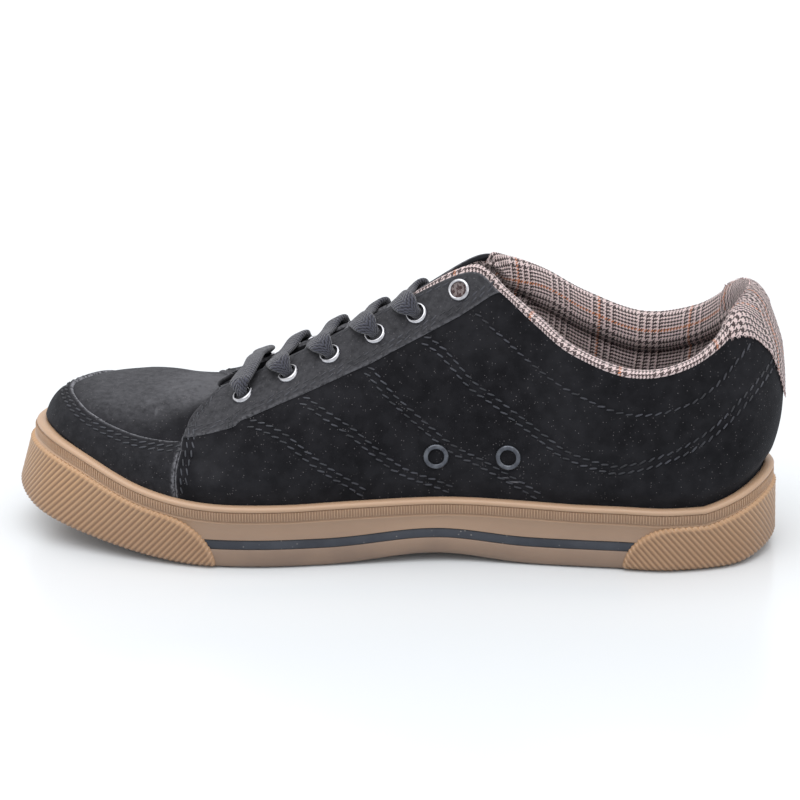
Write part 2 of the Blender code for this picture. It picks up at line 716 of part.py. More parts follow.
def flat_lace(name, path):
    """A flat lace through (point, up) pairs: a six-sided section swept along them."""
    rows = []
    points = [p for p, up in path]
    for i, (point, up) in enumerate(path):
        run = (points[min(i + 1, len(points) - 1)] - points[max(i - 1, 0)]).normalized()
        side = run.cross(up).normalized()
        top = side.cross(run)
        half, thick = 0.5 * LACE_WIDTH, 0.5 * LACE_THICKNESS
        rows.append([point + side * half * a + top * thick * b for a, b in
                     ((-1.0, 0.0), (-0.7, 1.0), (0.7, 1.0), (1.0, 0.0), (0.7, -1.0), (-0.7, -1.0))])
    return grid_mesh(name, rows, close_columns=True, caps="ends")


def over_eyelet(rib, share, side, edge_rib):
    """The lace's end over an eyelet and its place over the throat's edge, as (point, up) pairs."""
    place, direction = eyelet_frame(rib if side < 0 else AROUND - rib, share)
    u = edge_rib if side < 0 else AROUND - edge_rib
    lift = EYELET_HEIGHT + 0.5 * LACE_THICKNESS + 2 * CLEARANCE
    edge = upper_point(u, 1.0, OVERLAY_GAP + OVERLAY_WALL + SEAT_GAP + lift)
    return [(place + direction * lift, direction), (edge, rib_normal(u, 0.97))]


def make_laces(parts, cutters, cloth):
    """The bar over the first eyelets and the four crossings over the next ones."""
    lift = 0.5 * LACE_THICKNESS + 2 * CLEARANCE
    high = lift + OVERLAY_WALL + UPPER_WALL + EYELET_HEIGHT
    rib, share = EYELETS[0]
    near, far = over_eyelet(rib, share, -1, rib), over_eyelet(rib, share, 1, rib)
    middle = [tongue_point(rib, 0.0, high + LACE_THICKNESS)]
    new_object("lace_bar", flat_lace("lace_bar", near + middle + list(reversed(far))), cloth, parts)
    for number in range(1, 5):
        low_rib, (rib, share) = EYELETS[number - 1][0], EYELETS[number]
        strands = []
        for side in (-1, 1):
            start, middle, edge = (low_rib + (rib - low_rib) * step for step in LACE_STEPS)
            path = [tongue_point(start, side * LACE_REACH, lift),
                    tongue_point(middle, side * LACE_MIDDLE, 0.5 * (lift + high))]
            path += list(reversed(over_eyelet(rib, share, -side, edge)))
            strands.append(flat_lace("strand", path))
        crossing = new_object("lace_cross_%d" % number, strands[0], cloth, parts)
        join = crossing.modifiers.new("join", "BOOLEAN")
        join.operation = "UNION"
        join.solver = "EXACT"
        join.object = add_cutter("strand_%d" % number, strands[1], Matrix(), cutters)


def centre_on_floor(parts, cutters):
    """Move every mesh so that the shoe's box is centred on the origin and stands on z = 0."""
    bpy.context.view_layer.update()
    shaped = bpy.context.evaluated_depsgraph_get()
    corners = []
    for obj in parts.objects:
        corners += [Vector(corner) for corner in obj.evaluated_get(shaped).bound_box]
    low = Vector([min(corner[axis] for corner in corners) for axis in range(3)])
    high = Vector([max(corner[axis] for corner in corners) for axis in range(3)])
    shift = Matrix.Translation((-0.5 * (low.x + high.x), -0.5 * (low.y + high.y), -low.z))
    for obj in list(parts.objects) + list(cutters.objects):
        obj.data.transform(shift)


def build():
    for obj in list(bpy.data.objects):
        bpy.data.objects.remove(obj, do_unlink=True)
    parts = bpy.data.collections.new("skate_shoe")
    cutters = bpy.data.collections.new("cutters")
    for collection in (parts, cutters):
        bpy.context.scene.collection.children.link(collection)
    gum = material("gum_rubber", (0.45, 0.29, 0.19), 0.55)
    pale_gum = material("bumper_gum", (0.52, 0.31, 0.16), 0.5)
    ink = material("stripe_rubber", (0.04, 0.045, 0.06), 0.5)
    suede = material("dark_suede", (0.02, 0.02, 0.024), 0.9)
    foam = material("insole_foam", (0.05, 0.05, 0.055), 0.9)
    tweed = material("tweed", (0.45, 0.33, 0.32), 0.95)
    steel = material("eyelet_steel", (0.62, 0.62, 0.63), 0.25, 1.0)
    dark_steel = material("vent_steel", (0.10, 0.11, 0.12), 0.4, 1.0)
    cloth = material("lace_cloth", (0.05, 0.05, 0.065), 0.85)
    make_sole(parts, cutters, gum)
    make_stripe(parts, ink)
    make_bumper("toe_bumper", 9.45, AROUND - 9.45, BUMPER_END, -RIB_SLANT, parts, pale_gum)
    make_bumper("heel_bumper", -2.70, 2.70, BUMPER_END, RIB_SLANT, parts, pale_gum)
    make_insole(parts, foam)
    upper = make_upper(parts, suede)
    make_toe_guard(parts, suede)
    eyestays = [make_eyestay("eyestay_medial", -1, parts, suede),
                make_eyestay("eyestay_lateral", 1, parts, suede)]
    make_tongue(parts, suede)
    add_heel_tab(make_collar(parts, tweed), cutters)
    make_eyelets(parts, cutters, steel, dark_steel, upper, eyestays)
    make_laces(parts, cutters, cloth)
    centre_on_floor(parts, cutters)


build()
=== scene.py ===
# %% [markdown]
# A skateboarding shoe, dressed.
#
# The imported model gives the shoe's solids as a fixed frame. This file makes what the eye sees
# around them: the gum sole with its ribs, the napped suede, the tweed lining, the stitches, the
# eyelets and the flat lace. Each step has one cell that says what the piece is on the real shoe
# and how it is made here, and then short code cells that make it.

# %% Load the frame
import math

import bmesh
import bpy
import numpy as np
from mathutils import Matrix, Vector
from mathutils.kdtree import KDTree


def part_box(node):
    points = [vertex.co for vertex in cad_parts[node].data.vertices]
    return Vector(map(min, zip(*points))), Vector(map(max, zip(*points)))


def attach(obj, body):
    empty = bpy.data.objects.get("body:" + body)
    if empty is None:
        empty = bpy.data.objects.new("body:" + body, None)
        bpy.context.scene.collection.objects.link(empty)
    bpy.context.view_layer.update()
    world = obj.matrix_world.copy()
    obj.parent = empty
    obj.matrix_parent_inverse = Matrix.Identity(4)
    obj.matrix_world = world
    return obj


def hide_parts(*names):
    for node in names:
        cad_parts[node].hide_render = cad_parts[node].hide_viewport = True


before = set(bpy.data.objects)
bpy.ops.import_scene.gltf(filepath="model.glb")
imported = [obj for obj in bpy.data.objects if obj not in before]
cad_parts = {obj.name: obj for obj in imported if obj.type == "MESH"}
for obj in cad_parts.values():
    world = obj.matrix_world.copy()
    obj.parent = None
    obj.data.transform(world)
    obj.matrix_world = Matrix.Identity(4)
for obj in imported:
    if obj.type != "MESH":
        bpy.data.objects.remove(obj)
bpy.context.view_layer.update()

# %% [markdown]
# The camera comes first. The photograph was taken from the inner side of the shoe, a little round
# to the toe and a little above it, with a long lens about one metre away. The numbers were fitted
# to the shoe's outline, its sole and its eyelets. The light is that of a white tent: a bright
# background on every side and large soft lamps above.

# %% The sizes of the shoe, in metres, as the solids have them
SOLE_LENGTH = 0.295
BALL_WIDTH = 0.107
SIDEWALL_HEIGHT = 0.0245
TOE_RIM_RISE = 0.0195
HEEL_RIM_RISE = 0.0085
TOE_SPRING = 0.016
ARCH_LIFT = 0.003
HEEL_BEVEL = 0.003
SIDE_LEAN = 0.0008
TOE_LEAN = 0.0075
EDGE_BEVEL = 0.0026
RIM_WALL = 0.0030
FOOTBED_THICKNESS = 0.0120
BAND_HEIGHT = 0.0072
BAND_STEP = 0.0006
STRIPE_LOW = 0.0074
STRIPE_HEIGHT = 0.0038
UPPER_HEIGHT = 0.084
UPPER_WALL = 0.0020
QUARTER_STEP = 0.0012
INSOLE_THICKNESS = 0.0048
CLEARANCE = 0.0003
UPPER_INSET = RIM_WALL + 2 * CLEARANCE
EYELET_INSET = 0.0100
HEEL_LEAN = 0.0060
LEAN_FROM = 0.080
LEAN_BEHIND = 0.112

# %% The ribs of the upper, from the heel along the inner side to the toe
RIB_COLUMNS = "along medial lateral edge_along edge_half edge_height lift rise flare reach drop".split()
RIBS = (
    (0.000, 0.000, 0.000, 0.009, 0.000, 0.840, 0.000, 0.24, 0.085, 0.030, 0.30),
    (0.035, 0.235, 0.240, 0.039, 0.159, 0.812, 0.020, 0.24, 0.060, 0.030, 0.30),
    (0.120, 0.345, 0.355, 0.110, 0.257, 0.645, 0.045, 0.22, 0.030, 0.035, 0.25),
    (0.200, 0.350, 0.375, 0.181, 0.285, 0.600, 0.045, 0.22, 0.020, 0.020, 0.22),
    (0.270, 0.348, 0.390, 0.256, 0.266, 0.688, 0.055, 0.25, 0.010, 0.020, 0.25),
    (0.330, 0.342, 0.405, 0.307, 0.227, 0.815, 0.040, 0.35, 0.010, 0.030, 0.30),
    (0.390, 0.340, 0.430, 0.351, 0.182, 0.935, 0.000, 0.38, 0.000, 0.060, 0.28),
    (0.440, 0.355, 0.455, 0.393, 0.130, 1.000, -0.030, 0.42, 0.000, 0.110, 0.25),
    (0.530, 0.412, 0.500, 0.486, 0.105, 0.820, -0.058, 0.40, 0.000, 0.135, 0.10),
    (0.650, 0.485, 0.515, 0.605, 0.118, 0.590, -0.048, 0.30, 0.000, 0.155, 0.05),
    (0.750, 0.485, 0.478, 0.703, 0.105, 0.414, -0.024, 0.20, 0.000, 0.185, 0.07),
    (0.875, 0.405, 0.365, 0.722, 0.070, 0.384, 0.000, 0.15, -0.020, 0.290, 0.08),
    (0.960, 0.295, 0.225, 0.730, 0.035, 0.376, 0.000, 0.175, -0.050, 0.370, 0.03),
    (1.000, 0.050, -0.050, 0.732, 0.000, 0.374, 0.000, 0.205, -0.055, 0.410, 0.012),
)
TOE = len(RIBS) - 1
AROUND = 2 * TOE
SEAM = 10.2
EYELETS = ((9.62, 1.45), (9.10, 1.28), (8.66, 1.15), (8.20, 1.10), (7.72, 0.95), (7.14, 0.70))
VENTS = ((6.85, 0.155), (5.15, 0.20))


def rib_column(name, mirrored_name=None, mirrored_sign=1.0):
    """One column of the closed table of ribs: inner side first, then the outer side back to the heel."""
    inner = [row[RIB_COLUMNS.index(name)] for row in RIBS]
    outer = [row[RIB_COLUMNS.index(mirrored_name or name)] for row in RIBS]
    return np.array(inner + [mirrored_sign * value for value in outer[-2:0:-1]])


ALONG = rib_column("along")
SIDE = -rib_column("medial", "lateral", -1.0)
EDGE_ALONG = rib_column("edge_along")
EDGE_SIDE = -rib_column("edge_half", "edge_half", -1.0)
EDGE_HEIGHT = rib_column("edge_height")
EDGE_HEIGHT[TOE + 1:] += np.array([row[RIB_COLUMNS.index("lift")] for row in RIBS])[-2:0:-1]
RISE = rib_column("rise")
FLARE = rib_column("flare")
REACH = rib_column("reach")
DROP = rib_column("drop")
print("ribs around the shoe:", len(ALONG))


# %% [markdown]
# Every curved piece of the shoe lies on one of two surfaces: the wall of the sole, given by a
# place round the outline and a height, and the face of the upper, given by a place round the
# outline (u, in ribs) and a share of the way from the rim to the top edge (v). The functions take
# whole arrays of places, so a fine mesh costs no more than a coarse one.

# %% Curves and the sole's wall
def smooth(t):
    """A soft step from 0 to 1."""
    t = np.clip(t, 0.0, 1.0)
    return t * t * (3.0 - 2.0 * t)


def table(rows, x):
    """Read a table of (place, value) pairs with straight runs between its rows."""
    places, values = zip(*rows)
    return np.interp(x, places, values)


def smooth_table(rows, x):
    """A table read with soft steps between its rows."""
    places, values = (np.array(column) for column in zip(*rows))
    i = np.clip(np.searchsorted(places, x, side="right") - 1, 0, len(places) - 2)
    share = smooth((x - places[i]) / (places[i + 1] - places[i]))
    return values[i] + (values[i + 1] - values[i]) * share


def run_length(points):
    """The length along a line of points, from its start to each of them."""
    return np.concatenate([[0.0], np.linalg.norm(np.diff(points, axis=0), axis=1).cumsum()])


def unit(vectors):
    return vectors / np.maximum(np.linalg.norm(vectors, axis=-1, keepdims=True), 1e-12)


def catmull(p0, p1, p2, p3, t):
    """A smooth line from p1 to p2 that also looks at the points before and after."""
    return 0.5 * (2 * p1 + (p2 - p0) * t + (2 * p0 - 5 * p1 + 4 * p2 - p3) * t * t
                  + (3 * p1 - p0 - 3 * p2 + p3) * t ** 3)


def closed_curve(values, u):
    """A smooth closed curve through the values, one for each rib."""
    i = np.floor(u).astype(int)
    return catmull(*(values[(i + k) % AROUND] for k in (-1, 0, 1, 2)), u - i)


def outline(u):
    """Points of the sole's outline seen from above, with z = 0."""
    x = SOLE_LENGTH * (0.5 - closed_curve(ALONG, u))
    y = BALL_WIDTH * closed_curve(SIDE, u)
    return np.stack([x, y, np.zeros_like(x)], axis=-1)


def outline_normal(u):
    """The outline's outward direction."""
    run = outline(u + 0.02) - outline(u - 0.02)
    return unit(np.stack([-run[..., 1], run[..., 0], 0.0 * run[..., 0]], axis=-1))


def share_along(u):
    return np.clip(closed_curve(ALONG, u), 0.0, 1.0)


def bottom_height(along):
    """Height of the underside: heel bevel, flat heel, arch, flat ball and toe spring."""
    bevel = HEEL_BEVEL * np.maximum(0.0, 1.0 - along / 0.055) ** 2
    arch = ARCH_LIFT * np.sin(math.pi * np.clip((along - 0.30) / 0.27, 0.0, 1.0)) ** 2
    spring = TOE_SPRING * (np.maximum(0.0, along - 0.72) / 0.28) ** 1.7
    return bevel + arch + spring


def rim_height(along):
    """Height of the cup's rim: level along the sides, higher round the toe and the heel."""
    toe = np.sin(0.5 * math.pi * np.clip((along - 0.66) / 0.32, 0.0, 1.0) ** 1.45) ** 2
    heel = np.maximum(0.0, 1.0 - along / 0.085) ** 1.2
    arch = np.sin(math.pi * np.clip((along - 0.25) / 0.35, 0.0, 1.0))
    return SIDEWALL_HEIGHT + TOE_RIM_RISE * toe + HEEL_RIM_RISE * heel + 0.3 * ARCH_LIFT * arch


def wall_point(u, height, inset):
    """Points of the cup's wall at a height, moved inwards from the wall's outer face."""
    along = share_along(u)
    low, high = bottom_height(along), rim_height(along)
    lean = SIDE_LEAN + TOE_LEAN * smooth((along - 0.80) / 0.20)
    move = inset + lean * (height - low) / (high - low)
    p = outline(u) - outline_normal(u) * move[..., None]
    p[..., 2] = height
    return p


def footbed_height(along):
    return bottom_height(along) + FOOTBED_THICKNESS


def stripe_height(along):
    return STRIPE_LOW + 0.8 * bottom_height(along)


# %% The face of the upper
def rib_point(u, v):
    """Points of the upper's outer face, from the rim (v = 0) to the throat or collar (v = 1)."""
    u, v = np.broadcast_arrays(np.asarray(u, float), np.asarray(v, float))
    along = share_along(u)
    outward = outline_normal(u)
    start = wall_point(u, rim_height(along) + CLEARANCE, UPPER_INSET)
    end = np.stack([SOLE_LENGTH * (0.5 - closed_curve(EDGE_ALONG, u)),
                    BALL_WIDTH * closed_curve(EDGE_SIDE, u),
                    SIDEWALL_HEIGHT + UPPER_HEIGHT * closed_curve(EDGE_HEIGHT, u)], axis=-1)
    low = start + outward * (BALL_WIDTH * closed_curve(FLARE, u))[..., None]
    low[..., 2] += UPPER_HEIGHT * closed_curve(RISE, u)
    high = end + outward * (BALL_WIDTH * closed_curve(REACH, u))[..., None]
    high[..., 2] -= UPPER_HEIGHT * closed_curve(DROP, u)
    v = v[..., None]
    w = 1.0 - v
    return lean_in(start * w ** 3 + low * 3 * w * w * v + high * 3 * w * v * v + end * v ** 3)


def lean_in(points):
    """The top of the heel leans in over the foot."""
    high = np.maximum(0.0, (points[..., 2] - LEAN_FROM) / 0.025) ** 1.2
    points[..., 0] -= HEEL_LEAN * high * smooth((points[..., 0] - LEAN_BEHIND) / 0.024)
    return points


def rib_normal(u, v):
    """Outward direction of the upper's face."""
    u, v = np.broadcast_arrays(np.asarray(u, float), np.asarray(v, float))
    du = rib_point(u + 0.03, v) - rib_point(u - 0.03, v)
    dv = rib_point(u, np.minimum(1.0, v + 0.02)) - rib_point(u, np.maximum(0.0, v - 0.02))
    return -unit(np.cross(du, dv))


def mirrored(u):
    """The place on the inner side that faces a place on either side."""
    u = np.mod(u, AROUND)
    return np.minimum(u, AROUND - u)


def below_edge(u, depth):
    """The rib shares that lie a depth below the top edge, along each rib."""
    u, depth = np.broadcast_arrays(np.asarray(u, float), np.asarray(depth, float))
    steps = np.linspace(1.0, 0.0, 51)
    points = rib_point(u.reshape(-1, 1), steps)
    runs = np.linalg.norm(np.diff(points, axis=1), axis=2).cumsum(axis=1)
    runs = np.concatenate([np.zeros((len(runs), 1)), runs], axis=1)
    shares = [np.interp(d, run, steps) for d, run in zip(depth.reshape(-1), runs)]
    return np.array(shares).reshape(u.shape)


# %% Put the functions in the frame's place
def cad_stations():
    """The places of the solid sole's mesh columns, so that its box can be compared."""
    places = []
    for i in range(AROUND):
        count = 2 if 3 < mirrored(i + 0.5) < 9 else 3
        places += [i + k / count for k in range(count) if mirrored(i + k / count) != SEAM]
    return np.array(places)


def find_shift():
    """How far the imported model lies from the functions: the solids were centred on the floor."""
    u = cad_stations()
    along = share_along(u)
    band = rim_height(along) - BAND_HEIGHT + BAND_STEP
    rings = np.concatenate([wall_point(u, bottom_height(along) + EDGE_BEVEL, 0.0),
                            wall_point(u, band, -BAND_STEP)])
    low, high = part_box("sole")
    middle = 0.5 * (np.array(low) + np.array(high))
    shift = middle - 0.5 * (rings.min(axis=0) + rings.max(axis=0))
    shift[2] = 0.0
    return shift


SHIFT = find_shift()
print("shift of the frame, mm:", np.round(SHIFT * 1000, 2))


# %% [markdown]
# A mesh here is a grid of points, made from the functions above. The helper turns a grid into an
# object, with a UV map measured in metres of the surface, so that weave and nap keep their real
# scale, and with any masks that a finish needs, such as how near a cut edge is.

# %% Meshes from grids of points
ROOT = "root"
SHARP_EDGE = math.radians(50)


def closed_grid(grid, close_rows, close_columns):
    if close_rows:
        grid = np.concatenate([grid, grid[:1]], axis=0)
    if close_columns:
        grid = np.concatenate([grid, grid[:, :1]], axis=1)
    return grid


def measured_uv(grid, close_rows, close_columns):
    """UV in metres: u runs along the columns' middle row, v runs up each column."""
    full = closed_grid(grid, close_rows, close_columns)
    across = np.linalg.norm(np.diff(full, axis=1), axis=2).mean(axis=0)
    down = np.linalg.norm(np.diff(full, axis=0), axis=2)
    uv = np.zeros(full.shape[:2] + (2,))
    uv[..., 0] = np.concatenate([[0.0], across.cumsum()])[None, :]
    uv[1:, :, 1] = down.cumsum(axis=0)
    return uv


def grid_faces(rows, columns, close_rows, close_columns):
    """Quads of a grid as vertex numbers, and the same quads on the unclosed UV grid."""
    index = closed_grid(np.arange(rows * columns).reshape(rows, columns), close_rows, close_columns)
    tall, wide = index.shape
    corner = np.arange(tall * wide).reshape(tall, wide)

    def quads(n):
        return np.stack([n[:-1, :-1], n[1:, :-1], n[1:, 1:], n[:-1, 1:]], axis=-1).reshape(-1, 4)
    return quads(index), quads(corner)


def signed_volume(points, faces):
    a, b, c, d = (points[faces[:, k]] for k in range(4))
    return (a * np.cross(b, c) + a * np.cross(c, d)).sum()


def add_object(name, data):
    obj = bpy.data.objects.new(name, data)
    bpy.context.scene.collection.objects.link(obj)
    return obj


def make_object(name, points, faces, uv, finish, marks):
    """A finished piece: mesh, UV map, masks and material."""
    mesh = bpy.data.meshes.new(name)
    mesh.from_pydata((points + SHIFT).tolist(), [], faces.tolist())
    layer = mesh.uv_layers.new(name="UVMap")
    layer.data.foreach_set("uv", uv.reshape(-1).astype(np.float32))
    for mark, values in (marks or {}).items():
        attribute = mesh.attributes.new(mark, "FLOAT", "POINT")
        attribute.data.foreach_set("value", np.asarray(values, np.float32).reshape(-1))
    mesh.materials.append(finish)
    mesh.validate()
    mesh.shade_smooth()
    mesh.set_sharp_from_angle(angle=SHARP_EDGE)
    return add_object(name, mesh)


def mend(obj, merge=0.00001, fill=False):
    """Close a piece's own seams and, if asked, its open ends; its faces point out."""
    bm = bmesh.new()
    bm.from_mesh(obj.data)
    bmesh.ops.remove_doubles(bm, verts=bm.verts, dist=merge)
    if fill:
        bmesh.ops.holes_fill(bm, edges=[edge for edge in bm.edges if edge.is_boundary])
    bmesh.ops.recalc_face_normals(bm, faces=bm.faces)
    bm.to_mesh(obj.data)
    bm.free()
    obj.data.set_sharp_from_angle(angle=SHARP_EDGE)
    return obj


def grid_object(name, grid, finish, close_rows=False, close_columns=False, marks=None, uv=None,
                flip=None):
    """An object from a grid of points. A closed one is turned so that its faces point out."""
    faces, corners = grid_faces(*grid.shape[:2], close_rows, close_columns)
    points = grid.reshape(-1, 3)
    uv = measured_uv(grid, close_rows, close_columns) if uv is None else uv
    if flip is None:
        flip = signed_volume(points - points.mean(axis=0), faces) < 0.0
    if flip:
        faces, corners = faces[:, ::-1], corners[:, ::-1]
    return make_object(name, points, faces, uv.reshape(-1, 2)[corners], finish, marks)


def settle(obj, slot, *nodes):
    """Let a piece ride on the shoe, and name and hide the solids that it stands for. The slot argument is
    not used.
    """
    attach(obj, ROOT)
    if nodes:
        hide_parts(*nodes)
    print(obj.name, len(obj.data.polygons), "faces, stands for", ", ".join(nodes) or "nothing")
    return obj


# %% [markdown]
# Finishes. What several of them share is a node group: fine grain from noise, dust that lies as
# pale specks, and a mask that wanders between two values. The groups give out only values; the
# shader stays in each material.

# %% Node helpers
VECTOR_MATH = "ShaderNodeVectorMath"


def feed(tree, entry, value):
    """Link a node's input to a socket, or set it to a value."""
    if isinstance(value, bpy.types.NodeSocket):
        tree.links.new(value, entry)
    else:
        entry.default_value = value


def node(tree, kind, **values):
    """Add a node, set its properties and feed its inputs by name."""
    made = tree.nodes.new(kind)
    for key, value in values.items():
        if hasattr(made, key):
            setattr(made, key, value)
        else:
            feed(tree, made.inputs[key.replace("_", " ")], value)
    return made


def math_node(tree, operation, *values, kind="ShaderNodeMath"):
    """A Math node whose inputs are sockets or values; gives its output."""
    made = node(tree, kind, operation=operation)
    for entry, value in zip(made.inputs, values):
        feed(tree, entry, value)
    return made.outputs["Value" if operation == "LENGTH" else 0]


def times(tree, first, second):
    return math_node(tree, "MULTIPLY", first, second)


def mix_colors(tree, share, first, second):
    """Two colours, each a socket or a value, mixed by a share."""
    made = node(tree, "ShaderNodeMix", data_type="RGBA")
    feed(tree, made.inputs[0], share)
    for entry, value in ((made.inputs[6], first), (made.inputs[7], second)):
        feed(tree, entry, value if isinstance(value, bpy.types.NodeSocket) else (*value, 1.0))
    return made.outputs[2]


def lay_over(tree, color, mask, share, over):
    """Lay a second colour over the first where a mask is, up to a share."""
    return mix_colors(tree, times(tree, mask, share), color, over)


def ramp(tree, value, low, high):
    """Map a value from a range to 0..1, clamped and soft."""
    return node(tree, "ShaderNodeMapRange", interpolation_type="SMOOTHSTEP", Value=value,
                From_Min=low, From_Max=high).outputs["Result"]


def noise(tree, vector, scale, detail=3.0, roughness=0.6):
    return node(tree, "ShaderNodeTexNoise", Vector=vector, Scale=scale, Detail=detail,
                Roughness=roughness).outputs["Fac"]


def mark(tree, name):
    """A mask that the mesh carries."""
    return node(tree, "ShaderNodeAttribute", attribute_name=name).outputs["Fac"]


def split(tree, vector):
    return node(tree, "ShaderNodeSeparateXYZ", Vector=vector).outputs


def new_group(name, inputs, outputs):
    """An empty shader node group; inputs are (name, default). Gives the tree and its two ends."""
    tree = bpy.data.node_groups.new(name, "ShaderNodeTree")
    tree.interface.new_socket("Vector", in_out="INPUT", socket_type="NodeSocketVector")
    for label, default in inputs:
        socket = tree.interface.new_socket(label, in_out="INPUT", socket_type="NodeSocketFloat")
        socket.default_value = default
    for label in outputs:
        tree.interface.new_socket(label, in_out="OUTPUT", socket_type="NodeSocketFloat")
    return tree, tree.nodes.new("NodeGroupInput").outputs, tree.nodes.new("NodeGroupOutput").inputs


# %% Shared effects: grain, dust and wander
def grain_group():
    """Fine bumps in two sizes, as in nap, skin or moulded rubber."""
    tree, given, result = new_group("fine_grain", (("Scale", 900.0),), ("Height",))
    fine = noise(tree, given["Vector"], given["Scale"], 4.0, 0.7)
    wide = noise(tree, given["Vector"], times(tree, given["Scale"], 0.22))
    feed(tree, result["Height"], math_node(tree, "ADD", fine, times(tree, wide, 0.8)))
    return tree


def dust_group():
    """Sparse pale specks that have settled on a surface."""
    tree, given, result = new_group(
        "dust_specks", (("Scale", 330.0), ("Size", 0.16), ("Share", 0.5)), ("Mask",))
    cells = node(tree, "ShaderNodeTexVoronoi", Vector=given["Vector"], Scale=given["Scale"]).outputs
    near = math_node(tree, "LESS_THAN", cells["Distance"], given["Size"])
    pick = node(tree, "ShaderNodeSeparateColor", Color=cells["Color"]).outputs
    faint = times(tree, near, math_node(tree, "LESS_THAN", pick[0], given["Share"]))
    feed(tree, result["Mask"], times(tree, faint, pick[1]))
    return tree


def wander_group():
    """Slow patches from 0 to 1, for brushed nap, uneven dye and handling."""
    tree, given, result = new_group("slow_patches", (("Scale", 28.0),), ("Mask",))
    patches = noise(tree, given["Vector"], given["Scale"], 3.0, 0.55)
    feed(tree, result["Mask"], ramp(tree, patches, 0.34, 0.66))
    return tree


GRAIN, DUST, WANDER = grain_group(), dust_group(), wander_group()
print("shared effects:", GRAIN.name, DUST.name, WANDER.name)


def use_group(tree, group, vector, **values):
    return node(tree, "ShaderNodeGroup", node_tree=group, Vector=vector, **values).outputs


def patches(tree, vector, scale):
    return use_group(tree, WANDER, vector, Scale=scale)[0]


# %% A material's frame
def material(name, paint, roughness, grain=None, **surface):
    """A material. paint gives its colour and the relief of its bump as (height, depth) or None.

    grain is the (scale, depth) of fine grain instead of a relief; surface names values of the
    shader's own sockets."""
    made = bpy.data.materials.new(name)
    made.use_nodes = True
    tree = made.node_tree
    shader = tree.nodes["Principled BSDF"]
    for key, value in dict(surface, Roughness=roughness).items():
        shader.inputs[key.replace("_", " ")].default_value = value
    places = tree.nodes.new("ShaderNodeTexCoord").outputs
    color, relief = paint(tree, places)
    feed(tree, shader.inputs["Base Color"], color)
    if grain:
        relief = (use_group(tree, GRAIN, places["Object"], Scale=grain[0])[0], grain[1])
    if relief:
        bump = node(tree, "ShaderNodeBump", Height=relief[0], Distance=relief[1], Strength=1.0)
        feed(tree, shader.inputs["Normal"], bump.outputs["Normal"])
    return made


def patchy(scale, first, second):
    """Paint in two colours that wander into each other."""
    def paint(tree, places):
        return mix_colors(tree, patches(tree, places["Object"], scale), first, second), None
    return paint


# %% [markdown]
# Gum rubber is smooth and a little glossy, warm tan, with painted shade that makes it darker and redder
# low on the wall where it meets the floor. The bumpers are a more orange gum, pale on top of each rib,
# with painted shade between the ribs.

# %% Gum rubber
GUM_SURFACE = {"Coat_Weight": 0.08, "Coat_Roughness": 0.3, "Subsurface_Weight": 0.05,
               "Subsurface_Radius": (0.004, 0.002, 0.001)}
GUM_GRAIN = (1400.0, 0.00004)


def gum(high_color, low_shade_color):
    def paint(tree, places):
        spot = places["Object"]
        # Painted shade: the colour runs from the darker low colour at the foot of the wall to the high
        # colour above.
        rise = ramp(tree, split(tree, spot)["Z"], 0.004, 0.030)
        color = mix_colors(tree, rise, low_shade_color, high_color)
        color = lay_over(tree, color, patches(tree, spot, 45.0), 0.18, (0.36, 0.24, 0.16))
        # Painted shade: the groove mask darkens the hollows between the ribs.
        return lay_over(tree, color, mark(tree, "groove"), 0.85, (0.165, 0.088, 0.044)), None
    return paint


def stripe_paint(tree, places):
    spot = places["Object"]
    color = mix_colors(tree, patches(tree, spot, 60.0), (0.018, 0.022, 0.033), (0.032, 0.037, 0.050))
    specks = use_group(tree, DUST, spot, Scale=500.0)[0]
    return lay_over(tree, color, specks, 0.5, (0.3, 0.28, 0.26)), None


SOLE_GUM = material("sole_gum", gum((0.430, 0.280, 0.180), (0.175, 0.118, 0.086)), 0.42,
                    GUM_GRAIN, **GUM_SURFACE)
BUMPER_GUM = material("bumper_gum_ribbed", gum((0.470, 0.285, 0.155), (0.345, 0.205, 0.115)), 0.42,
                      GUM_GRAIN, **GUM_SURFACE)
STRIPE_RUBBER = material("stripe_rubber", stripe_paint, 0.5, (1200.0, 0.00003))
print("rubber finishes:", SOLE_GUM.name, BUMPER_GUM.name, STRIPE_RUBBER.name)


# %% [markdown]
# The upper is nubuck: leather sanded to a short nap, dyed near black. Brushing leaves broad, soft
# lighter patches, the cut edges of its panels are raw and pale, and dust shows as specks. The
# toe's top is greyer, where hands and shoes rub it.

# %% Suede
SUEDE_MARKS = (
    # place (u, v), radii along and across in mm, share of dust
    ((9.70, 0.20), (8.5, 6.5), 0.035),
    ((4.95, 0.080), (4.2, 0.40), 0.55),
    ((5.18, 0.095), (2.0, 0.30), 0.45),
    ((11.45, 0.64), (0.9, 2.2), 0.16),
    ((11.9, 0.70), (3.5, 0.5), 0.14),
)
NAP_DEEP = (0.0032, 0.0032, 0.0046)
NAP_BRUSHED = (0.0130, 0.0130, 0.0158)
NAP_RUBBED = (0.080, 0.080, 0.088)
SCUFF = (0.22, 0.22, 0.24)
RAW_LEATHER = (0.26, 0.26, 0.285)
DUST_COLOR = (0.34, 0.32, 0.33)


def oval(tree, spot, place, radii):
    """1 inside a soft flat oval at a place on the inner side, 0 outside."""
    along, across = radii
    middle = rib_point(np.array(place[0]), np.array(place[1])) + SHIFT
    away = math_node(tree, "SUBTRACT", spot, middle, kind=VECTOR_MATH)
    stretch = (1000 / along, 250 / along, 1000 / across)
    scaled = math_node(tree, "MULTIPLY", away, stretch, kind=VECTOR_MATH)
    length = math_node(tree, "LENGTH", scaled, kind=VECTOR_MATH)
    return math_node(tree, "SUBTRACT", 1.0, ramp(tree, length, 0.3, 1.0))


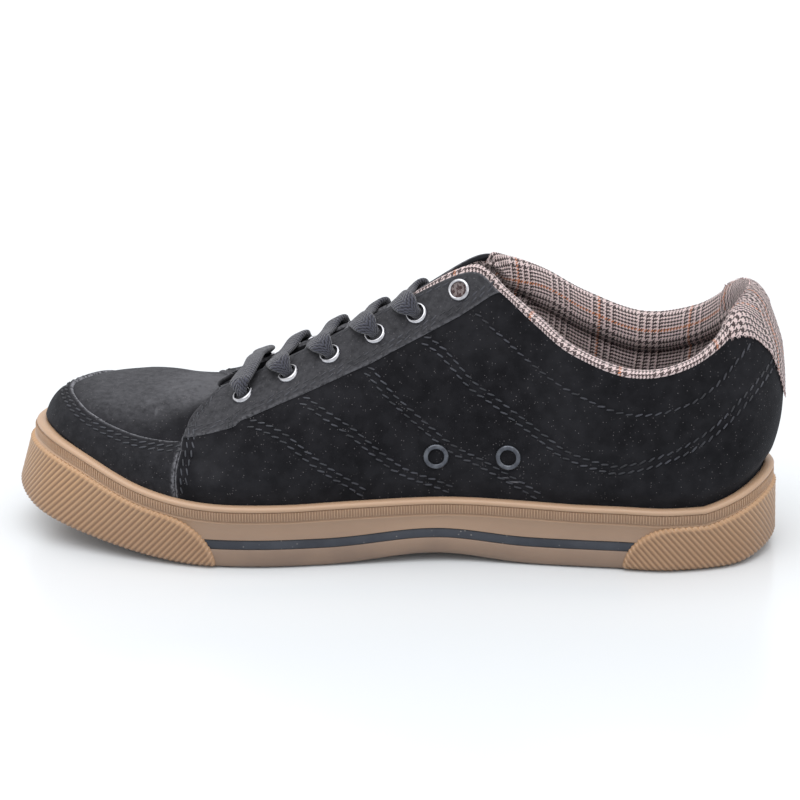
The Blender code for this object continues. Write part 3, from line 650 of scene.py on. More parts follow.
def suede_paint(tree, places):
    spot = places["Object"]
    mottle = math_node(tree, "ADD", times(tree, patches(tree, spot, 26.0), 0.6),
                       times(tree, patches(tree, spot, 210.0), 0.4))
    color = mix_colors(tree, mottle, NAP_DEEP, NAP_BRUSHED)
    uneven = math_node(tree, "MULTIPLY_ADD", noise(tree, spot, 420.0, 6.0, 0.7), 2.6, -0.3)
    color = lay_over(tree, color, mark(tree, "rubbed"), uneven, NAP_RUBBED)
    for place, radii, share in SUEDE_MARKS:
        color = lay_over(tree, color, oval(tree, spot, place, radii), share, SCUFF)
    ragged = ramp(tree, noise(tree, spot, 700.0), 0.30, 0.62)
    color = lay_over(tree, color, mark(tree, "raw_edge"), ragged, RAW_LEATHER)
    specks = use_group(tree, DUST, spot, Scale=980.0, Size=0.17, Share=0.50)[0]
    return lay_over(tree, color, specks, 0.32, DUST_COLOR), None


NUBUCK = material("dark_nubuck", suede_paint, 0.93, (1500.0, 0.00012), Specular_IOR_Level=0.18,
                  Sheen_Weight=0.06, Sheen_Roughness=0.45, Sheen_Tint=(0.72, 0.76, 0.86, 1.0))
print("suede finish:", NUBUCK.name)


# %% [markdown]
# The lining is a wool tweed in a glen check: bands of four light and four dark threads cross bands
# of two and two, both ways, woven over two and under two. The finish counts threads along the UV
# map, decides which thread lies on top, and gives it that thread's colour. Every so often a thread
# is orange, which makes a wide window-pane over the check.

# %% Tweed
THREAD = 0.00034
LIGHT_WOOL = (0.86, 0.70, 0.69)
DARK_WOOL = (0.040, 0.017, 0.018)
ORANGE_WOOL = (0.66, 0.20, 0.05)
BROAD_BANDS, CHECK_REPEAT, PANE_REPEAT = 32.0, 56.0, 112.0


def tweed_weave():
    """Which thread is on top, whether it is light, where orange runs, and the threads' relief."""
    tree, given, result = new_group("glen_check", (("Thread", THREAD),), ("Light", "Orange", "Height"))
    parts = split(tree, given["Vector"])

    def every(number, period, low, high):
        """1 for the threads from low to high in each period."""
        rest = math_node(tree, "FLOORED_MODULO", number, period)
        return times(tree, math_node(tree, "GREATER_THAN", rest, low - 0.5),
                     math_node(tree, "LESS_THAN", rest, high - 0.5))
    warp, weft = (math_node(tree, "DIVIDE", parts[axis], given["Thread"]) for axis in ("X", "Y"))
    warp_number, weft_number = (math_node(tree, "FLOOR", across) for across in (warp, weft))
    warp_on_top = every(math_node(tree, "ADD", warp_number, weft_number), 4.0, 0.0, 2.0)

    def choose(first, second):
        """The first value where the warp is on top, else the second."""
        made = node(tree, "ShaderNodeMix")
        for entry, value in ((0, warp_on_top), (2, second), (3, first)):
            feed(tree, made.inputs[entry], value)
        return made.outputs[0]

    def threads(number):
        """Light threads: bands of four and four, then bands of two and two."""
        part = every(number, CHECK_REPEAT, 0.0, BROAD_BANDS)
        other = math_node(tree, "SUBTRACT", 1.0, part)
        return math_node(tree, "ADD", times(tree, every(number, 8.0, 0.0, 4.0), part),
                         times(tree, every(number, 4.0, 0.0, 2.0), other))

    def crown(across):
        """The round of one thread: 0 at its sides and 1 on top."""
        return math_node(tree, "ABSOLUTE", math_node(tree, "SINE", times(tree, across, math.pi)))
    feed(tree, result["Light"], choose(threads(warp_number), threads(weft_number)))
    feed(tree, result["Orange"], choose(every(warp_number, PANE_REPEAT, 10.0, 13.0),
                                        every(weft_number, PANE_REPEAT, 46.0, 49.0)))
    feed(tree, result["Height"], choose(crown(warp), crown(weft)))
    return tree


CHECK = tweed_weave()


def tweed(shade=1.0, source="UV"):
    def paint(tree, places):
        loose = node(tree, "ShaderNodeTexNoise", Vector=places[source], Scale=900.0).outputs["Color"]
        cloth = math_node(tree, "MULTIPLY_ADD", loose, (0.00018, 0.00018, 0.0), places[source],
                          kind=VECTOR_MATH)
        weave = use_group(tree, CHECK, cloth, Thread=THREAD)
        # shade scales the light threads; below 1 it is painted shade.
        light = [shade * value for value in LIGHT_WOOL]
        color = mix_colors(tree, weave["Light"], DARK_WOOL, light)
        color = lay_over(tree, color, weave["Orange"], 0.9, ORANGE_WOOL)
        fibre = patches(tree, places["Object"], 800.0)
        return lay_over(tree, color, fibre, 0.10, (0.40, 0.30, 0.30)), (weave["Height"], 0.00022)
    return paint


CLOTH_SURFACE = {"Sheen_Weight": 0.25, "Specular_IOR_Level": 0.2}
TWEED = material("glen_check_tweed", tweed(), 0.95, **CLOTH_SURFACE)
# A copy of the tweed with its light threads darkened to 0.22 as painted shade, for the cloth seen down
# the empty eyelets.
SHADED_TWEED = material("shaded_tweed_behind_eyelets", tweed(0.22, "Object"), 0.95, **CLOTH_SURFACE)
LOOSE_WOOL = material("loose_wool", patchy(900.0, (0.10, 0.05, 0.05), LIGHT_WOOL), 0.95)
print("tweed thread, mm:", THREAD * 1000)


# %% [markdown]
# The lace is a flat cotton braid, charcoal with a little blue. Its strands run in fine slanted
# ribs that meet along the middle. The stitches are thick bonded thread of the same colour but
# darker, and the eyelets are polished steel rings; the two vents are the same ring in dark plate.

# %% Lace, thread and metal
BRAID_STEP = 0.00125
BRAID_STRAND = 0.0010
LACE_MIDDLE_V = 0.004


def braid_paint(tree, places):
    parts = split(tree, places["UV"])
    slant = math_node(tree, "ABSOLUTE", math_node(tree, "SUBTRACT", parts["Y"], LACE_MIDDLE_V))
    run = math_node(tree, "ADD", parts["X"], times(tree, slant, 0.8))
    loose = times(tree, noise(tree, places["Object"], 700.0), 4.0)
    phase = math_node(tree, "ADD", times(tree, run, math.pi / BRAID_STEP), loose)
    rib, strand = (math_node(tree, "ABSOLUTE", math_node(tree, "SINE", angle))
                   for angle in (phase, times(tree, parts["Y"], math.pi / BRAID_STRAND)))
    relief = times(tree, rib, math_node(tree, "MULTIPLY_ADD", strand, 0.5, 0.5))
    # Painted shade: the colour follows the relief, darker in the hollows between the braid's ribs and
    # lighter on their crests.
    height = ramp(tree, relief, 0.05, 0.75)
    color = mix_colors(tree, height, (0.008, 0.008, 0.012), (0.056, 0.058, 0.078))
    return color, (relief, 0.00045)


LACE = material("braided_lace", braid_paint, 0.9, Sheen_Weight=0.3, Specular_IOR_Level=0.2)
THREAD_FINISH = material("bonded_thread", patchy(120.0, (0.011, 0.012, 0.016), (0.036, 0.038, 0.049)),
                         0.6, (3000.0, 0.00004))
METAL_GRAIN = (900.0, 0.00001)
STEEL = material("polished_steel", patchy(350.0, (0.56, 0.56, 0.59), (0.40, 0.40, 0.43)), 0.16,
                 METAL_GRAIN, Metallic=1.0)
DARK_STEEL = material("dark_plate", patchy(350.0, (0.13, 0.14, 0.16), (0.075, 0.08, 0.095)), 0.36,
                      METAL_GRAIN, Metallic=1.0)
INSOLE_CLOTH = material("insole_cloth", patchy(60.0, (0.028, 0.028, 0.033), (0.050, 0.050, 0.058)), 0.95,
                        (1300.0, 0.0001))
print("lace, thread, metal and insole finishes are ready")


# %% [markdown]
# The cup sole is one moulding. From the floor up, its wall has a rounded edge, a shallow groove
# that holds the dark stripe, a plain face, a fine crease, a band of close upright ribs and a
# rounded lip. The profile is a short table of places on the wall, and every row of it runs round
# the whole outline.

# %% The cup sole
COLUMNS_PER_RIB = 30
WALL_PROFILE = (
    ("bottom", 0.0, 5.0), ("bottom", 0.0, 2.5), ("bottom", 0.25, 1.45), ("bottom", 0.8, 0.65),
    ("bottom", 1.6, 0.2), ("bottom", 2.6, 0.0), ("stripe", -0.25, 0.0), ("stripe", 0.0, 0.25),
    ("stripe", 0.1, 1.0), ("top_of_stripe", -0.1, 1.0), ("top_of_stripe", 0.0, 0.25),
    ("top_of_stripe", 0.25, -0.25), ("top_of_stripe", 0.6, -0.25), ("top_of_stripe", 0.9, 0.0),
    ("band", -0.9, 0.0), ("band", -0.6, -0.3), ("band", -0.25, -0.3), ("band", 0.0, 0.1),
    ("band", 0.35, 0.1), ("band", 0.6, -0.25), ("band", 3.8, -0.35), ("band", 4.05, -0.05),
    ("band", 4.2, -0.45), ("band", 4.5, -0.65), ("rim", -1.25, -0.72), ("rim", -0.85, -0.62),
    ("rim", -0.4, -0.3), ("rim", -0.1, 0.3), ("rim", 0.0, 1.0), ("rim", -0.05, 2.1),
    ("rim", -0.3, 3.0), ("rim", -0.9, 3.4), ("bed", 0.0, 3.45),
)
# Rows of the wall behind the band's upright ribs, darkened by BAND_SHADE as painted shade between the
# ribs.
BAND_ROWS = (18, 19, 20, 21)
BAND_SHADE = 0.55
TREAD_WAVE, TREAD_PITCH, TREAD_DEPTH = 0.018, 0.0065, 0.0013
TOE_LIP_DROP = 0.0010
TOE_BAND_RISE = 0.0002
BAND_RISE = 0.0010


def toe_share(along):
    """0 along the sides and 1 round the toe, where the lip sits closer to the bumper."""
    return smooth((along - 0.84) / 0.13)


def lip_height(along):
    return rim_height(along) - TOE_LIP_DROP * toe_share(along)


def band_height(along):
    """Height of the crease under the ribbed band."""
    return lip_height(along) - BAND_HEIGHT + BAND_RISE + TOE_BAND_RISE * toe_share(along)


LEVELS = {
    "bottom": bottom_height,
    "stripe": stripe_height,
    "top_of_stripe": lambda along: stripe_height(along) + STRIPE_HEIGHT,
    "band": band_height,
    "rim": lip_height,
    "bed": footbed_height,
}
MM = 0.001


def ring_of_places(per_rib=COLUMNS_PER_RIB):
    """Even places round the whole outline."""
    return np.arange(AROUND * per_rib) / per_rib


def wall_rows(u, profile):
    along = share_along(u)
    return np.stack([wall_point(u, LEVELS[level](along) + rise * MM, inset * MM)
                     for level, rise, inset in profile])


def across_rows(ring, count):
    """Rows from a ring's inner side to its outer side, for a bed or an underside."""
    half = len(ring) // 2
    inner, outer = ring[:half + 1], np.concatenate([ring[:1], ring[:half - 1:-1]])
    shares = np.linspace(0.0, 1.0, count)[:, None, None]
    return inner[None] * (1.0 - shares) + outer[None] * shares


def tread(grid):
    """Press a herringbone of grooves into the underside."""
    x, y = grid[..., 0], grid[..., 1]
    zigzag = np.abs(np.mod(y / TREAD_WAVE, 1.0) - 0.5) * TREAD_WAVE
    phase = np.mod((x + zigzag) / TREAD_PITCH, 1.0)
    groove = smooth((phase - 0.66) / 0.12) * smooth((0.98 - phase) / 0.10)
    side = np.minimum(np.arange(len(grid)), np.arange(len(grid))[::-1])[:, None]
    carved = grid.copy()
    carved[..., 2] += TREAD_DEPTH * groove * smooth((side - 2) / 4.0)
    return carved


def weld(name, pieces, finish):
    """Join pieces into one object and close their shared seams."""
    bm = bmesh.new()
    for piece in pieces:
        bm.from_mesh(piece.data)
        bpy.data.objects.remove(piece)
    mesh = bpy.data.meshes.new(name)
    bm.to_mesh(mesh)
    bm.free()
    mesh.materials.append(finish)
    mesh.shade_smooth()
    return mend(add_object(name, mesh), 0.00002)


def make_sole():
    wall = wall_rows(ring_of_places(), WALL_PROFILE)
    # The groove mask here is painted shade between the band's upright ribs.
    dark = np.zeros(wall.shape[:2])
    dark[list(BAND_ROWS)] = BAND_SHADE
    pieces = [grid_object("wall", wall, SOLE_GUM, close_columns=True, marks={"groove": dark}, flip=False)]
    faces = {"underside": tread(across_rows(wall[0], 60)), "foot_bed": across_rows(wall[-1], 16)}
    for name, face in faces.items():
        pieces.append(grid_object(name, face, SOLE_GUM, marks={"groove": 0.0 * face[..., 0]}, flip=False))
    return weld("cup_sole", pieces, SOLE_GUM)


settle(make_sole(), "gum_rubber", "sole")


# %% [markdown]
# The stripe is a ribbon of dark rubber laid in the wall's groove. It is made as a closed ribbon
# with a slightly crowned face.

# %% The stripe
STRIPE_PROFILE = (("stripe", 0.15, 0.9), ("stripe", 0.15, 0.35), ("stripe", 0.5, 0.12),
                  ("top_of_stripe", -0.5, 0.12), ("top_of_stripe", -0.15, 0.35),
                  ("top_of_stripe", -0.15, 0.9))


def make_stripe():
    rows = wall_rows(ring_of_places(), STRIPE_PROFILE)
    return grid_object("dark_stripe", rows, STRIPE_RUBBER, close_rows=True, close_columns=True)


settle(make_stripe(), "stripe_rubber", "side_stripe")


# %% [markdown]
# Round the toe and the heel a second gum is laid over the wall: a bumper with fine slanted ribs
# and a round beaded top edge. Each column of its mesh leans with the ribs, so a rib is crisp from
# the floor to its bead.

# %% The bumpers
FINE_RIB = 0.00235
RIB_COLUMNS_EACH = 8
BUMPER_THICKNESS = 0.0016
BUMPER_RELIEF = 0.00040
BUMPER_BEAD = 0.0016
BUMPER_SLANT = 0.85
BUMPER_END = 0.020
TOE_BUMPER_FROM = 9.57
HEEL_BUMPER_FROM = -2.85


def arc_places(first, last, steps=1600):
    """Places along a stretch of the outline and their running length."""
    places = np.linspace(first, last, steps)
    return places, run_length(outline(places))


def bumper_top(run, places, runs):
    """Height of the bumper's top edge over the underside, with round ends."""
    along = share_along(np.interp(run, runs, places))
    full = band_height(along) - CLEARANCE - bottom_height(along)
    near = np.clip(np.minimum(run, runs[-1] - run) / BUMPER_END, 0.0, 1.0)
    return full * np.sqrt(np.maximum(0.0, 1.0 - (1.0 - near) ** 2))


def slanted_columns(places, runs, slant):
    """For each leaning line: run and height of its two ends on the bumper, and its rib phase."""
    heights = np.arange(0.0, 0.045, 0.0001)
    columns = []
    step = FINE_RIB / RIB_COLUMNS_EACH
    for k in range(int((runs[-1] + 0.08) / step)):
        run = -0.04 + k * step + slant * heights
        on = (run > 0.0) & (run < runs[-1]) & (heights <= bumper_top(run, places, runs))
        if on.sum() > 12:
            first, last = np.flatnonzero(on)[[0, -1]]
            columns.append((run[first], heights[first], run[last], heights[last], k % RIB_COLUMNS_EACH))
    return np.array(columns)


def make_bumper(name, first, last, slant):
    places, runs = arc_places(first, last)
    run0, low, run1, high, phase = slanted_columns(places, runs, slant).T
    crest = 0.5 + 0.5 * np.cos(2 * math.pi * phase / RIB_COLUMNS_EACH)
    high = high - 0.0005 * (1.0 - crest) * (high > low + 0.004)
    face = np.concatenate([np.linspace(0.0, 0.9, 16), 1.0 - np.geomspace(0.08, 0.004, 7), [1.0]])
    rows, grooves = [], []
    for share in face:
        rise = low + (high - low) * share
        bead = np.clip((high - rise) / BUMPER_BEAD, 0.0, 1.0)
        round_top = np.sqrt(1.0 - (1.0 - bead) ** 2)
        relief = BUMPER_RELIEF * (1.0 - crest)
        out = (BUMPER_THICKNESS + 0.0003 * np.exp(-((high - rise - 0.0011) / 0.0007) ** 2) - relief)
        rows.append((run0 + (run1 - run0) * share, rise, out * round_top - 0.0002))
        # The groove mask: painted shade in the hollows between the ribs, fading out towards the bead.
        grooves.append((1.0 - crest) * np.clip((high - rise - 0.0005) / 0.001, 0.0, 1.0))
    for share in (0.98, 0.5, 0.0):
        level = low + (high - low) * share
        rows.append((run0 + (run1 - run0) * share, level, np.full_like(low, -0.0003)))
        grooves.append(0.0 * crest)
    grid = []
    for run, rise, out in rows:
        u = np.interp(run, runs, places)
        bevel = EDGE_BEVEL * np.maximum(0.0, 1.0 - rise / EDGE_BEVEL) ** 2
        grid.append(wall_point(u, bottom_height(share_along(u)) + rise, bevel - out))
    marks = {"groove": np.array(grooves)}
    return grid_object(name, np.array(grid), BUMPER_GUM, close_rows=True, marks=marks)


settle(make_bumper("toe_ribs", TOE_BUMPER_FROM, AROUND - TOE_BUMPER_FROM, -BUMPER_SLANT),
       "bumper_gum", "toe_bumper")
settle(make_bumper("heel_ribs", HEEL_BUMPER_FROM, -HEEL_BUMPER_FROM, BUMPER_SLANT),
       "bumper_gum", "heel_bumper")


# %% [markdown]
# Under the rim's lip runs a band of close upright ribs. One short rounded bar is made once, and
# Geometry Nodes sets it on points round the outline, each turned to face out. The same tree later
# sets the stitches and the eyelets: it needs only points that carry a direction along and a
# direction up.

# %% The tree that sets a piece on points
def random_range(tree, spread, seed):
    """A random value from minus to plus a spread, one for each point."""
    made = node(tree, "FunctionNodeRandomValue", data_type="FLOAT")
    entries = {entry.name: entry for entry in made.inputs if entry.enabled}
    for label, value in (("Min", times(tree, spread, -1.0)), ("Max", spread), ("Seed", seed)):
        feed(tree, entries[label], value)
    return next(socket for socket in made.outputs if socket.enabled)


def setting_tree():
    """Geometry Nodes: set a piece on every point, turned along the point's two directions."""
    tree = bpy.data.node_groups.new("set_on_points", "GeometryNodeTree")
    tree.interface.new_socket("Geometry", in_out="OUTPUT", socket_type="NodeSocketGeometry")
    for label, kind in (("Geometry", "Geometry"), ("Piece", "Object"), ("Finish", "Material"),
                        ("Size", "Float"), ("Size Variation", "Float"), ("Turn Variation", "Float"),
                        ("Seed", "Int")):
        tree.interface.new_socket(label, in_out="INPUT", socket_type="NodeSocket" + kind)
    given = tree.nodes.new("NodeGroupInput").outputs
    along, up = (node(tree, "GeometryNodeInputNamedAttribute", data_type="FLOAT_VECTOR",
                      Name=name).outputs["Attribute"] for name in ("along", "up"))
    facing = node(tree, "FunctionNodeAxesToRotation", primary_axis="Z", secondary_axis="X",
                  Primary_Axis=up, Secondary_Axis=along)
    spin = random_range(tree, given["Turn Variation"], given["Seed"])
    angles = node(tree, "ShaderNodeCombineXYZ", Z=spin)
    wobble = tree.nodes.new("FunctionNodeEulerToRotation")
    feed(tree, wobble.inputs[0], angles.outputs[0])
    turn = node(tree, "FunctionNodeRotateRotation", rotation_space="LOCAL")
    feed(tree, turn.inputs[0], facing.outputs[0])
    feed(tree, turn.inputs[1], wobble.outputs[0])
    uneven = random_range(tree, given["Size Variation"], given["Seed"])
    size = math_node(tree, "MULTIPLY_ADD", uneven, given["Size"], given["Size"])
    piece = node(tree, "GeometryNodeObjectInfo", Object=given["Piece"]).outputs["Geometry"]
    setter = node(tree, "GeometryNodeInstanceOnPoints", Points=given["Geometry"], Instance=piece,
                  Rotation=turn.outputs[0], Scale=size)
    real = node(tree, "GeometryNodeRealizeInstances", Geometry=setter.outputs[0])
    dressed = node(tree, "GeometryNodeSetMaterial", Geometry=real.outputs[0], Material=given["Finish"])
    feed(tree, tree.nodes.new("NodeGroupOutput").inputs[0], dressed.outputs[0])
    return tree


SETTING = setting_tree()


def set_on_points(name, points, along, up, piece, finish, size_variation=0.0, turn_variation=0.0):
    """Make one mesh of the piece repeated on all points."""
    mesh = bpy.data.meshes.new(name)
    mesh.from_pydata((np.asarray(points) + SHIFT).tolist(), [], [])
    for label, values in (("along", along), ("up", up)):
        attribute = mesh.attributes.new(label, "FLOAT_VECTOR", "POINT")
        attribute.data.foreach_set("vector", np.asarray(values, np.float32).reshape(-1))
    carrier = add_object(name, mesh)
    nodes = carrier.modifiers.new("set", "NODES")
    nodes.node_group = SETTING
    values = {"Piece": piece, "Finish": finish, "Size": 1.0, "Size Variation": size_variation,
              "Turn Variation": turn_variation, "Seed": 3}
    for item in SETTING.interface.items_tree:
        if item.in_out == "INPUT" and item.name in values:
            nodes[item.identifier] = values[item.name]
    shaped = carrier.evaluated_get(bpy.context.evaluated_depsgraph_get())
    made = bpy.data.meshes.new_from_object(shaped)
    carrier.modifiers.clear()
    carrier.data = made
    made.shade_smooth()
    made.set_sharp_from_angle(angle=SHARP_EDGE)
    bpy.data.objects.remove(piece)
    print(name, len(points), "pieces")
    return carrier


def template(name, rows, finish, close_rows):
    """A small piece at the origin, to be repeated. It isn't moved by the frame's shift."""
    return grid_object(name, np.array(rows, float) - SHIFT, finish, close_rows, True)


def pill(name, length, width, height, sides=6):
    """A lying rounded bar: its length along X, its top to +Z."""
    rows = []
    for share, girth in ((-0.5, 0.35), (-0.36, 0.9), (0.0, 1.0), (0.36, 0.9), (0.5, 0.35)):
        angles = [2 * math.pi * k / sides for k in range(sides)]
        rows.append([(share * length, 0.5 * width * girth * math.cos(a), height * girth * math.sin(a))
                     for a in angles])
    return mend(template(name, rows, SOLE_GUM, False), 1e-7, True)


# %% The ribbed band under the rim
BAND_RIB_PITCH = 0.00105
BAND_RIB_SEAT = 0.00030
BAND_RIB_SIZE = (0.0035, 0.00060, 0.00042)


def make_band_ribs():
    places, runs = arc_places(0.0, float(AROUND), 4000)
    count = int(runs[-1] / BAND_RIB_PITCH)
    u = np.interp(np.linspace(0.0, runs[-1], count, endpoint=False), runs, places)
    along = share_along(u)
    middle = band_height(along) + 0.0022
    points = wall_point(u, middle, -BAND_RIB_SEAT)
    upright = unit(wall_point(u, middle + 0.001, 0.0) - wall_point(u, middle, 0.0))
    bar = pill("band_rib_pattern", *BAND_RIB_SIZE)
    return set_on_points("band_ribs", points, upright, outline_normal(u), bar, SOLE_GUM)


settle(make_band_ribs(), "gum_rubber")


# %% [markdown]
# The insole lies on the foot bed inside the upper: a slab with a soft edge and a cloth top.

# %% The insole


def make_insole():
    u = ring_of_places(12)
    base = footbed_height(share_along(u)) + CLEARANCE
    inset = RIM_WALL + UPPER_WALL + 4 * CLEARANCE
    rings = [wall_point(u, base + rise, inset + pull) for rise, pull in
             ((0.0, 0.0), (INSOLE_THICKNESS - 0.001, 0.0), (INSOLE_THICKNESS - 0.0003, 0.0003),
              (INSOLE_THICKNESS, 0.001))]
    pieces = [grid_object("edge", np.array(rings), INSOLE_CLOTH, close_columns=True, flip=False),
              grid_object("top", across_rows(rings[-1], 24), INSOLE_CLOTH, flip=False),
              grid_object("base", across_rows(rings[0], 8), INSOLE_CLOTH, flip=False)]
    return weld("foot_insole", pieces, INSOLE_CLOTH)


settle(make_insole(), "insole_foam", "insole")


# %% [markdown]
# The upper is a hollow shell of suede, 2 mm thick. Its surface comes from the ribs, and soft
# shapes are pressed into it: a shallow trough under every row of stitches, where the thread pulls
# the nap down, and the creases that a foot has begun to make.

# %% Rows of stitches, as places (u, v) on the inner side
QUARTER_SEAMS = (
    ((9.39, 0.502), (8.89, 0.350), (8.36, 0.147), (7.85, 0.012)),
    ((8.82, 0.545), (8.27, 0.330), (7.42, 0.104), (6.35, 0.012)),
    ((8.20, 0.595), (7.66, 0.389), (6.82, 0.222), (5.78, 0.154), (4.84, 0.064), (4.45, 0.015)),
    ((7.58, 0.680), (6.76, 0.517), (5.64, 0.461), (4.48, 0.380), (4.02, 0.334), (3.38, 0.292),
     (2.95, 0.281), (2.22, 0.390), (1.55, 0.517), (1.14, 0.604), (0.60, 0.703), (0.20, 0.760)),
)
COLLAR_SEAM = ((6.79, 0.791), (5.46, 0.782), (3.99, 0.759), (3.16, 0.725), (2.67, 0.728),
               (2.45, 0.737), (1.88, 0.769), (1.51, 0.811), (1.28, 0.857), (0.91, 0.893))
FRONT_SEAM = ((10.34, 0.53), (10.27, 0.460), (10.19, 0.372), (10.13, 0.19), (10.09, 0.02))
STAY_FRONT = ((10.27, 0.482), (10.37, 0.579), (10.54, 0.674), (10.72, 0.770), (10.88, 0.851),
              (11.03, 0.93), (11.20, 1.000))
STAY_LOW = ((5.90, 1.000), (6.09, 0.974), (6.77, 0.826), (7.10, 0.765), (8.14, 0.617),
            (8.91, 0.567), (9.49, 0.533), (9.55, 0.504), (10.11, 0.494), (10.27, 0.482))
GUARD_HIGH = ((10.27, 0.462), (10.60, 0.428), (10.93, 0.381), (11.33, 0.339), (11.78, 0.316),
              (12.48, 0.322), (12.91, 0.323), (13.0, 0.323))
DOUBLE_ROW = 0.0027
STITCH_PITCH = 0.0036
STITCH_SLANT = 0.26


def on_side(side, u):
    """A place of the inner side, or its twin on the outer side when side is 1."""
    return u if side < 0 else AROUND - u


def line_on_side(side, line):
    return [(on_side(side, u), v) for u, v in line]


def curve_through(line, step=0.0005):
    """A smooth dense line of places through a few (u, v) pairs."""
    keys = np.array(line, float)
    last = len(keys) - 1
    fine = np.linspace(0, last, 60 * last + 1)
    padded = np.concatenate([[2 * keys[0] - keys[1]], keys, [2 * keys[-1] - keys[-2]]])
    i = np.minimum(fine.astype(int), last - 1)
    places = catmull(*(padded[i + k] for k in range(4)), (fine - i)[:, None])
    runs = run_length(rib_point(places[:, 0], places[:, 1]))
    even = np.linspace(0.0, runs[-1], max(2, int(runs[-1] / step)))
    return np.stack([np.interp(even, runs, places[:, k]) for k in (0, 1)], axis=1)


def beside(places, distance):
    """The places of a line moved sideways over the surface, to its left as it runs."""
    u, v = places.T
    points, normals = rib_point(u, v), rib_normal(u, v)
    side = np.cross(normals, unit(np.gradient(points, axis=0))) * distance
    du = (rib_point(u + 0.01, v) - points) / 0.01
    dv = (rib_point(u, v + 0.01) - points) / 0.01
    uu, uv, vv = (np.einsum("ij,ij->i", a, b) for a, b in ((du, du), (du, dv), (dv, dv)))
    su, sv = np.einsum("ij,ij->i", side, du), np.einsum("ij,ij->i", side, dv)
    det = uu * vv - uv * uv
    return np.stack([u + (su * vv - sv * uv) / det, v + (sv * uu - su * uv) / det], axis=1)


def rows_beside(side, line, *distances):
    """Rows of stitches at distances from a line, on one side of the shoe."""
    places = curve_through(line_on_side(side, line))
    return [beside(places, -side * distance) for distance in distances]


QUARTER_LINES = [row for line in QUARTER_SEAMS for side in (-1, 1)
                 for row in rows_beside(side, line, -0.5 * side * DOUBLE_ROW, 0.5 * side * DOUBLE_ROW)]
BACK_LINES = [curve_through(line_on_side(side, COLLAR_SEAM)) for side in (-1, 1)]
BACK_LINES += [row for side in (-1, 1) for row in rows_beside(side, FRONT_SEAM, 0.0022, 0.0046)]
print("stitch rows on the quarters:", len(QUARTER_LINES) + len(BACK_LINES))


# %% How the surface moves: troughs, creases and the quarters' step
SEAM_TROUGH = 0.00045
FLEX_CREASES = (
    # u and v of the crease's two ends and middle, depth in mm, width in mm
    (((10.05, 0.30), (9.75, 0.38), (9.55, 0.44)), 0.5, 3.0),
    (((11.25, 0.50), (11.45, 0.72), (11.75, 0.93)), 0.45, 4.0),
    (((14.75, 0.50), (14.55, 0.72), (14.25, 0.93)), 0.45, 4.0),
    (((4.60, 0.62), (4.90, 0.66), (5.25, 0.65)), 0.5, 4.0),
    (((2.10, 0.62), (2.45, 0.60), (2.85, 0.63)), 0.5, 3.5),
    (((20.90, 0.64), (21.20, 0.66), (21.50, 0.62)), 0.5, 4.0),
)


def line_value(line, at, axis=0):
    """Read a line of (u, v) pairs: v at a u, or u at a v when axis is 1."""
    return table(sorted((pair[axis], pair[1 - axis]) for pair in line), at)


def front_seam_place(v):
    """Where the quarter's front edge lies at a height on the rib."""
    return line_value(FRONT_SEAM, v, axis=1)


def quarter_front(u, v):
    """1 on the quarters and 0 on the vamp, with a steep cut edge between."""
    return smooth((front_seam_place(v) + 0.012 - mirrored(u)) / 0.024)


def near_lines(points, lines, reach):
    """Distance from each point to the nearest of some lines on the surface."""
    spots = np.concatenate([rib_point(line[:, 0], line[:, 1]) for line in lines])
    tree = KDTree(len(spots))
    for number, spot in enumerate(spots):
        tree.insert(spot, number)
    tree.balance()
    away = [min(reach, tree.find(point)[2]) for point in points.reshape(-1, 3)]
    return np.array(away).reshape(points.shape[:-1])


def quarter_step(u, v):
    return QUARTER_STEP * quarter_front(u, v) * smooth(v / 0.12)


def surface_lift(u, v):
    """How far the upper's face moves out from its ribs, in metres."""
    points = rib_point(u, v)
    thread = near_lines(points, QUARTER_LINES + BACK_LINES, 0.01)
    lift = quarter_step(u, v) - SEAM_TROUGH * np.exp(-(thread / 0.0009) ** 2)
    for line, depth, width in FLEX_CREASES:
        away = near_lines(points, [curve_through(line)], 0.03) / (width * MM)
        lift = lift - depth * MM * (np.exp(-away ** 2) - 0.6 * np.exp(-(away - 1.9) ** 2))
    return lift


def dressed_point(u, v, offset=0.0):
    """The upper's dressed face, moved out by an offset."""
    u, v = np.broadcast_arrays(np.asarray(u, float), np.asarray(v, float))
    return rib_point(u, v) + rib_normal(u, v) * (quarter_step(u, v) + offset)[..., None]


def top_edge(u):
    """The upper's top edge, the direction out of its face there, and the one down along it."""
    edge = dressed_point(u, 1.0)
    return edge, rib_normal(u, 0.97), unit(dressed_point(u, 0.94) - edge)


# %% The upper
def upper_columns():
    """Places of the upper's columns: even, and closer at the two front seams."""
    fine = [seam + k * 0.004 for seam in (SEAM, AROUND - SEAM) for k in range(-50, 51)]
    u = np.unique(np.round(np.concatenate([ring_of_places(20), fine]) % AROUND, 4))
    return u[np.concatenate([[True], np.diff(u) > 0.002])]


